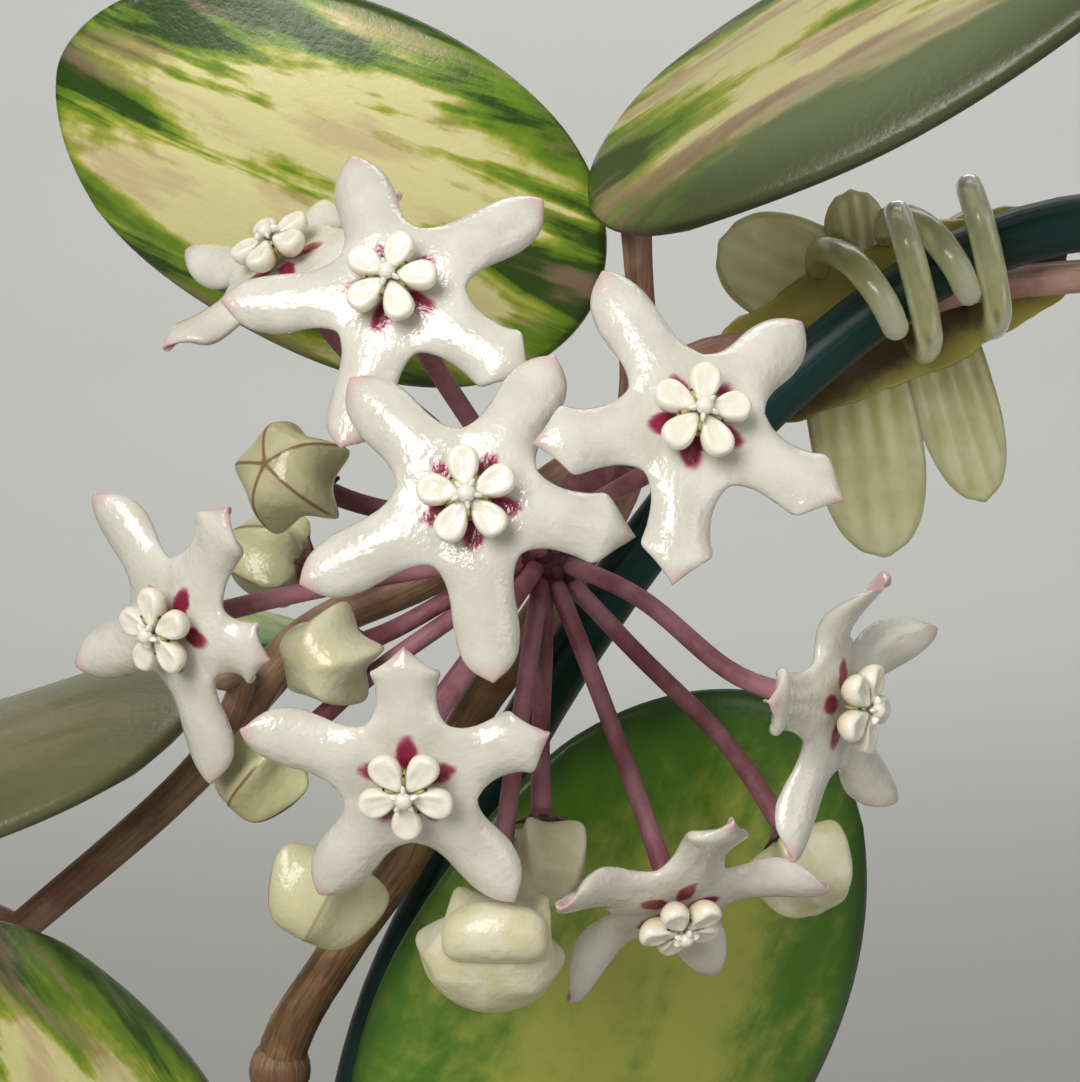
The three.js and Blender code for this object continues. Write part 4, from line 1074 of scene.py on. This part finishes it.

# %% [markdown]
# The clip is a butterfly-shaped claw clip of clear yellow-green plastic. Each half has a ragged plate
# behind the hoop, two thin wings with moulded ribs, and two claws that lace over the front. The two
# halves turn on a steel pin. In the clip's own frame x runs along the hoop and z points to the front.
# The plastic is paler on the wings' ribs and at the claws' tips. The plate is darkened to brown by a painted
# shadow where the hoop lies over it, so each piece stores how pale it is.

# %% Clip plastic
def clear_plastic(name, first, second, clear, rough):
    material, tree, shader = new_material(
        name, Roughness=rough, IOR=1.49, Transmission_Weight=clear, Coat_Weight=0.3, Coat_Roughness=0.1,
        Subsurface_Weight=0.5, Subsurface_Radius=(1.0, 0.95, 0.5), Subsurface_Scale=1.5 * MM,
    )
    pale = stored(tree, "skin", "Z")[1]
    place = in_millimetres(tree)
    blotches = add(tree, "TexNoise", place, 0.35, 5.0, 0.65)
    tone = add(tree, "Math", blotches, 0.9, pale, **TIMES_PLUS)
    shade = add(tree, "MapRange", tone, 0.5, 1.3, **SOFT)
    colour = add(tree, "Mix", shade, first, second, **COLOUR)
    surface(tree, shader, colour, add(tree, "TexNoise", place, 0.9, 3.0), 0.06)
    return material


WING_PLASTIC = clear_plastic("clip_wing_plastic", "#c3bf7a", "#efedcb", 0.45, 0.3)
CLAW_PLASTIC = clear_plastic("clip_claw_plastic", "#cfd397", "#f4f5de", 0.5, 0.2)
# The plate's dark brown is a painted shadow of the hoop.
PLATE_PLASTIC = clear_plastic("clip_plate_plastic", "#614a20", "#c9bf64", 0.1, 0.4)
print("materials:", WING_PLASTIC.name, CLAW_PLASTIC.name, PLATE_PLASTIC.name)

# %% Clip plates and wings
CLIP_AT = Vector((-15.7, 0, 296.7))
CLIP_LEAN = math.radians(30)
CLIP_PIN_Z = -9.3
KNUCKLE_BORE = 1.15
KNUCKLE_RADIUS = 2.0
PLATE_FRONT = -5.6
PLATE_THICKNESS = 1.3
DISC_CENTRE = Vector((-1.7, -1.6, 0))
CLIP_FRAME = Matrix((
    (math.cos(CLIP_LEAN), 0, math.sin(CLIP_LEAN)),
    (-math.sin(CLIP_LEAN), 0, math.cos(CLIP_LEAN)),
    (0, -1, 0),
)).transposed().to_4x4()
CLIP_FRAME.translation = CLIP_AT


def fuller(share):
    """Pushes a round outline out towards its corners."""
    return math.copysign(abs(share) ** 0.8, share)


def half_plate(way):
    """Half a long disc with a torn-looking edge, cut straight along the hinge line."""
    bm = disc_sheet(48, 32)
    skin = bm.verts.layers.float_vector.new("skin")
    tilt = Matrix.Rotation(math.radians(-7), 3, "Z")
    for vert in bm.verts:
        angle = math.atan2(vert.co.y, vert.co.x)
        radius = vert.co.length
        torn = 0.35 + 0.8 * noise.noise((4 * math.cos(angle), 4 * math.sin(angle), 4))
        torn += 0.5 * noise.noise((11 * math.cos(angle), 11 * math.sin(angle), 2))
        flat = Vector((13.5 * fuller(math.cos(angle)), 4.9 * fuller(math.sin(angle)), 0))
        vert.co = DISC_CENTRE + tilt @ flat * radius * (1 + radius ** 4 * torn / 10)
        # A painted shadow: a band along the hoop's line, darkened towards brown.
        shadow = math.exp(-((vert.co.y + 3.4) / 2.3) ** 2)
        vert[skin] = (vert.co.x, vert.co.y, 1 - 1.1 * shadow)
    cut = {"plane_co": (0, way * 0.45, 0), "plane_no": (0, -way, 0), "clear_outer": True}
    bmesh.ops.bisect_plane(bm, geom=bm.verts[:] + bm.edges[:] + bm.faces[:], **cut)
    for vert in bm.verts:
        vert.co.z = PLATE_FRONT + 0.22 * noise.noise((0.5 * vert.co.x, 0.5 * vert.co.y, way))
    face_front(bm, Vector((0, 0, 1)))
    return bm


def wing(middle, degrees, half_length, half_width):
    """A thin lobe with five ribs that fan out from its root, and a softly scalloped end."""
    bm = disc_sheet(26, 24)
    skin = bm.verts.layers.float_vector.new("skin")
    turn = math.radians(degrees)
    out = Vector((math.cos(turn), math.sin(turn), 0))
    beside = Vector((-math.sin(turn), math.cos(turn), 0))
    for vert in bm.verts:
        p, q = vert.co.xy
        fan = math.cos(p / (1 + 0.25 * q) * math.pi * 5)
        rim = max(math.hypot(p, q) - 0.8, 0) / 0.2
        scallop = 0.1 * fan * max(q, 0) ** 3
        rib = 0.08 * fan * (1 - rim)
        width = half_width * (1.03 + 0.5 * min(q, 0) ** 2)
        place = Vector((*middle, 0)) + out * (half_length * q + scallop) + beside * (width * p)
        vert.co = place + Vector((0, 0, PLATE_FRONT - 0.15 + rib - 0.35 * rim ** 2))
        faint = 0.5 + noise.noise((2.2 * p, 1.3 * q, degrees))
        vert[skin] = (p, q, 0.45 + 0.2 * fan * faint * (1 - rim) + 0.2 * q)
    face_front(bm, Vector((0, 0, 1)))
    return bm


def clip_sheet(name, bm, material, node, body):
    bm.transform(CLIP_FRAME)
    wall = PLATE_THICKNESS - 0.1
    return finish_piece(bm, name, [material], "clip_plastic", [node], body, smooth=1, wall=wall)


CLIP_SIDES = [
    # node, body, way it opens, wings
    ("clip_half", "root", 1, [((-6.5, 4.9), 127, 5.5, 4), ((-1.1, 4.4), 68, 3.7, 2.4)]),
    ("clip_jaw", "clip_jaw", -1, [((-7.7, -9.5), -109, 8.2, 4.1), ((-0.6, -9.8), -101.5, 7.6, 3.1)]),
]
for node, body, way, wings in CLIP_SIDES:
    clip_sheet(node + "_plate", half_plate(way), PLATE_PLASTIC, node, body)
    for place, shape in enumerate(wings, 1):
        clip_sheet(f"{node}_wing_{place}", wing(*shape), WING_PLASTIC, node, body)
print("plates and wings of both halves")

# %% Clip claws and knuckles
FIXED_CLAW = [(3.8, -6.2), (5.3, -3.5), (5.3, 0), (4, 3.3), (1.3, 4.8), (-1.7, 4.1)]
ROUNDED = {"segments": 2, "profile": 0.5, "affect": "EDGES", "material": -1}
JAW_CLAW = [(-4.3, -6.2), (-5.1, -3.5), (-4.9, 0), (-3.4, 3.2), (-0.4, 4.6), (2.8, 4.7), (5.6, 3.3)]


def claw(profile, x, rise, lean, slant):
    """A round claw, thickest about two thirds of the way along, with a rounded tip."""
    path = [(x + lean * y + slant * (z - 4.8), y + rise, z) for y, z in profile]
    bm = rod(path, lambda share: 0.9 + 0.12 * math.sin(math.pi * share ** 1.6), 18, 34, kind=0.35)
    skin = bm.verts.layers.float_vector["skin"]
    whole = max(vert[skin].x for vert in bm.verts)
    for vert in bm.verts:
        vert[skin].z = 0.2 + 0.7 * (vert[skin].x / whole) ** 5
    return bm


def knuckle(way, start, end):
    """A barrel round the pin, with the web that joins it to its plate."""
    barrel = new_mesh("skin")[0]
    middle = Vector(((start + end) / 2, 0, CLIP_PIN_Z))
    bmesh.ops.create_circle(barrel, segments=28, radius=KNUCKLE_BORE)
    rims = barrel.edges[:]
    outer = bmesh.ops.create_circle(barrel, segments=28, radius=KNUCKLE_RADIUS)["verts"]
    ring = list({edge for vert in outer for edge in vert.link_edges})
    bmesh.ops.bridge_loops(barrel, edges=rims + ring)
    lifted = bmesh.ops.extrude_face_region(barrel, geom=barrel.faces[:])["geom"]
    bmesh.ops.translate(barrel, vec=(0, 0, end - start), verts=only_verts(lifted))
    bmesh.ops.recalc_face_normals(barrel, faces=barrel.faces)
    sharp = [edge for edge in barrel.edges if edge.calc_face_angle(0) > 1]
    bmesh.ops.bevel(barrel, geom=sharp, offset=0.2, **ROUNDED)
    bmesh.ops.translate(barrel, vec=(0, 0, (start - end) / 2), verts=barrel.verts)
    turned(barrel, 90, "Y")
    bmesh.ops.translate(barrel, vec=middle, verts=barrel.verts)
    web = new_mesh("skin")[0]
    bmesh.ops.create_cube(web, size=1)
    bmesh.ops.scale(web, vec=(end - start - 0.1, 1.5, 2.2), verts=web.verts)
    bmesh.ops.bevel(web, geom=web.edges[:], offset=0.25, **ROUNDED)
    bmesh.ops.translate(web, vec=(middle.x, way * 1.3, CLIP_PIN_Z + 2.1), verts=web.verts)
    return barrel, web


CLAWS = {
    "clip_half": (
        [(FIXED_CLAW, -2.5, -0.2, 0, 0.2), (FIXED_CLAW, 2.9, -0.6, 0, 0.2)], [(-8, -5.6), (5.6, 7.6)],
    ),
    "clip_jaw": (
        [(JAW_CLAW, 0.1, 0.8, 0.24, 0), (JAW_CLAW, 5.05, -0.1, 0.26, 0)], [(-4.9, -3.1), (3.1, 4.9)],
    ),
}
for node, body, way, wings in CLIP_SIDES:
    claws, knuckles = CLAWS[node]
    bm = new_mesh("skin")[0]
    for shape in claws:
        join(bm, claw(*shape))
    for start, end in knuckles:
        join(bm, *knuckle(way, start, end))
    bm.transform(CLIP_FRAME)
    finish_piece(bm, node + "_claws", [CLAW_PLASTIC], "clip_plastic", [node], body)
print("claws and knuckles of both halves")

# %% [markdown]
# The pin is bright steel wire with a soft-cornered head at each end, and the spring is a few turns of
# thinner wire round it. Drawn wire has fine lines along its length.

# %% Pin and spring
def drawn_steel():
    material, tree, shader = new_material("drawn_steel", Metallic=1.0, IOR=2.5)
    whole = stored(tree, "skin")[0]
    lines = add(tree, "TexNoise", add(tree, "VectorMath", whole, (0.2, 9.0, 1), **TIMES), 1.0, 3.0)
    colour = add(tree, "Mix", lines, "#9d9c98", "#bdbcb8", **COLOUR)
    tree.links.new(add(tree, "MapRange", lines, 0.3, 0.7, 0.22, 0.38), shader.inputs["Roughness"])
    surface(tree, shader, colour, lines, 0.02)
    return material


def on_pin(bm):
    bm.transform(CLIP_FRAME @ Matrix.Translation((0, 0, CLIP_PIN_Z)))
    return bm


PIN_RADIUS = 0.85
PIN_HEAD_RADIUS = 1.1
SPRING_WIRE_RADIUS = 0.3
STEEL = drawn_steel()
pin = rod([(-8.4, 0, 0), (-3, 0, 0), (3, 0, 0), (8.4, 0, 0)], lambda share: PIN_RADIUS, 20, 12)
for end in (-8.35, 8.35):
    head = [(end - 0.25, 0, 0), (end, 0, 0), (end + 0.25, 0, 0)]
    join(pin, rod(head, lambda share: PIN_HEAD_RADIUS, 20, 6))
finish_piece(on_pin(pin), "clip_pin_wire", [STEEL], "spring_steel", ["clip_pin"])
turns = [2 * math.pi * step / 16 for step in range(47)]
coil = [(-2.3 + 4.6 * turn / turns[-1], 1.5 * math.cos(turn), 1.5 * math.sin(turn)) for turn in turns]
coil = on_pin(rod(coil, lambda share: SPRING_WIRE_RADIUS, 10, 140))
finish_piece(coil, "clip_spring_wire", [STEEL], "spring_steel", ["clip_spring"])
print("pin and spring")

# %% [markdown]
# The pot is thrown clay: one profile spun round, with soft corners, a stepped rim and a floor with five
# drain holes. The floor is a ring of edges with five circles in it, filled and then given its thickness.

# %% Terracotta
def terracotta():
    material, tree, shader = new_material("terracotta", Roughness=0.86, IOR=1.5)
    place = in_millimetres(tree)
    broad = add(tree, "MapRange", add(tree, "TexNoise", place, 0.03, 4.0, 0.6), 0.35, 0.65, **SOFT)
    clay = add(tree, "Mix", broad, "#a85f43", "#bd7656", **COLOUR)
    grain = add(tree, "TexNoise", place, 1.4, 4.0, 0.65)
    fired = add(tree, "MapRange", grain, 0.56, 0.68, 0.0, 0.35, **SOFT)
    speckled = add(tree, "Mix", fired, clay, "#8a4a33", **COLOUR)
    # A chalky bloom where water has dried out through the wall
    bloom = add(tree, "MapRange", add(tree, "TexNoise", place, 0.07, 5.0, 0.7), 0.56, 0.7, 0.0, 0.45, **SOFT)
    colour = add(tree, "Mix", bloom, speckled, "#cfb4a2", **COLOUR)
    # The potter's rings, about 3 mm apart, under the grain
    height = add(tree, "SeparateXYZ", place, output="Z")
    drift = add(tree, "Math", add(tree, "TexNoise", place, 0.08, 2.0), 9.0, **TIMES)
    rings = add(tree, "Math", add(tree, "Math", height, 2.1, drift, **TIMES_PLUS), operation="SINE")
    relief = add(tree, "Math", rings, 0.35, grain, **TIMES_PLUS)
    surface(tree, shader, colour, relief, 0.22)
    return material


TERRACOTTA = terracotta()
print("material:", TERRACOTTA.name)

# %% Pot
POT_PROFILE = [
    (36, 0), (45.6, 0), (46.7, 0.5), (47, 1.4), (59.6, 90.6), (60.1, 91.7), (61.2, 92), (63.2, 92.1),
    (63.9, 92.9), (64, 94), (64, 109.8), (63.6, 111.3), (62.4, 112), (60, 112), (58.6, 111.5), (57.9, 110.4),
    (42.6, 7.6), (41.4, 6.3), (40, 6), (36, 6),
]
DRAIN_RADIUS = 4
DRAIN_RING = 26
POT_SIDES = 120
FLOOR_RADIUS, FLOOR_THICKNESS = POT_PROFILE[-1]
pot = spun(POT_PROFILE, POT_SIDES)
pot_floor = bmesh.new()
bmesh.ops.create_circle(pot_floor, segments=POT_SIDES, radius=FLOOR_RADIUS)
for hole in range(5):
    angle = math.radians(72 * hole + 18)
    place = Matrix.Translation((DRAIN_RING * math.cos(angle), DRAIN_RING * math.sin(angle), 0))
    bmesh.ops.create_circle(pot_floor, segments=28, radius=DRAIN_RADIUS, matrix=place)
bmesh.ops.triangle_fill(pot_floor, use_beauty=True, use_dissolve=False, edges=pot_floor.edges)
lifted = bmesh.ops.extrude_face_region(pot_floor, geom=pot_floor.faces[:], use_keep_orig=True)["geom"]
bmesh.ops.translate(pot_floor, vec=(0, 0, FLOOR_THICKNESS), verts=only_verts(lifted))
floor_edge = FLOOR_RADIUS - 0.5
outside = [f for f in pot_floor.faces if all(math.hypot(v.co.x, v.co.y) > floor_edge for v in f.verts)]
bmesh.ops.delete(pot_floor, geom=[f for f in outside if abs(f.normal.z) < 0.5], context="FACES_ONLY")
join(pot, pot_floor)
bmesh.ops.remove_doubles(pot, verts=pot.verts, dist=0.01)
bmesh.ops.recalc_face_normals(pot, faces=pot.faces)
finish_piece(pot, "pot_body", [TERRACOTTA], "terracotta", ["pot"])
print("pot made")

# %% [markdown]
# The potting mix is bark chips, dark crumbs and white perlite. One uneven top sheet fills the pot, and
# loose chips are strewn over it from a fixed seed. Each chip is a small sphere of few faces, crushed
# by noise, so that a few hundred of them cost little.

# %% Potting mix finishes
CRUMB = plain_tissue("potting_crumb", "#2a1d15", "#4a3527", 0.8, 0.95, 0.5)
BARK_CHIP = plain_tissue("bark_chip", "#4d3322", "#7a553a", 0.9, 0.85, 0.3)
PERLITE = plain_tissue("perlite_grain", "#d3cfc5", "#b8b2a5", 1.2, 0.9, 0.3)
print("materials:", CRUMB.name, BARK_CHIP.name, PERLITE.name)

# %% Soil
SOIL_LEVEL = 98
SOIL_RADIUS = 55.8
CHIPS = 620
PERLITE_SHARE = 0.24


def soil_height(x, y):
    waves = 1.4 * math.sin(0.41 * x + 1.3) * math.cos(0.37 * y) + 0.9 * math.sin(0.83 * x - 0.71 * y)
    edge = 1 - min((x * x + y * y) / SOIL_RADIUS ** 2, 1) ** 3
    return SOIL_LEVEL - 2.5 + edge * (1.5 + waves)


soil = disc_sheet(90, 90)
for vert in soil.verts:
    x, y, flat = vert.co * SOIL_RADIUS
    crumbs = 0.9 * noise.noise((0.45 * x, 0.45 * y, 3)) + 0.6 * noise.noise((1.3 * x, 1.3 * y, 8))
    vert.co = (x, y, soil_height(x, y) + crumbs)
rim = [edge for edge in soil.edges if edge.is_boundary]
walls = bmesh.ops.extrude_edge_only(soil, edges=rim)["geom"]
for vert in only_verts(walls):
    vert.co = (vert.co.x * 0.76, vert.co.y * 0.76, 6.4)
lowest = [edge for edge in soil.edges if edge.is_boundary]
bmesh.ops.holes_fill(soil, edges=lowest, sides=0)
bmesh.ops.recalc_face_normals(soil, faces=soil.faces)
finish_piece(soil, "soil_body", [CRUMB], "potting_mix", ["soil"])

random.seed(11)
chips = bmesh.new()
for chip in range(CHIPS):
    turn = random.uniform(0, 2 * math.pi)
    out = (SOIL_RADIUS - 3) * math.sqrt(random.random())
    x, y = out * math.cos(turn), out * math.sin(turn)
    white = random.random() < PERLITE_SHARE
    size = random.uniform(0.9, 1.6) if white else random.uniform(1.2, 2.9)
    grain = bmesh.new()
    bmesh.ops.create_icosphere(grain, subdivisions=2 if white else 1, radius=size)
    flat = (1, 1, 0.85) if white else (1.3, random.uniform(0.5, 0.9), random.uniform(0.35, 0.6))
    for vert in grain.verts:
        vert.co *= 1 + 0.3 * noise.noise(vert.co * 0.9 / size + Vector((chip, 0, 0)))
    bmesh.ops.scale(grain, vec=flat, verts=grain.verts)
    heading = Matrix.Rotation(random.uniform(0, 6.3), 3, "Z")
    tumble = heading @ Matrix.Rotation(random.uniform(-0.6, 0.6), 3, "X")
    bmesh.ops.rotate(grain, matrix=tumble, verts=grain.verts)
    bmesh.ops.translate(grain, vec=(x, y, soil_height(x, y) + size * flat[2] * 0.35), verts=grain.verts)
    for face in grain.faces:
        face.material_index = int(white)
    join(chips, grain)
finish_piece(chips, "soil_chips", [BARK_CHIP, PERLITE], "potting_mix", ["soil"])
print("soil and", CHIPS, "chips")
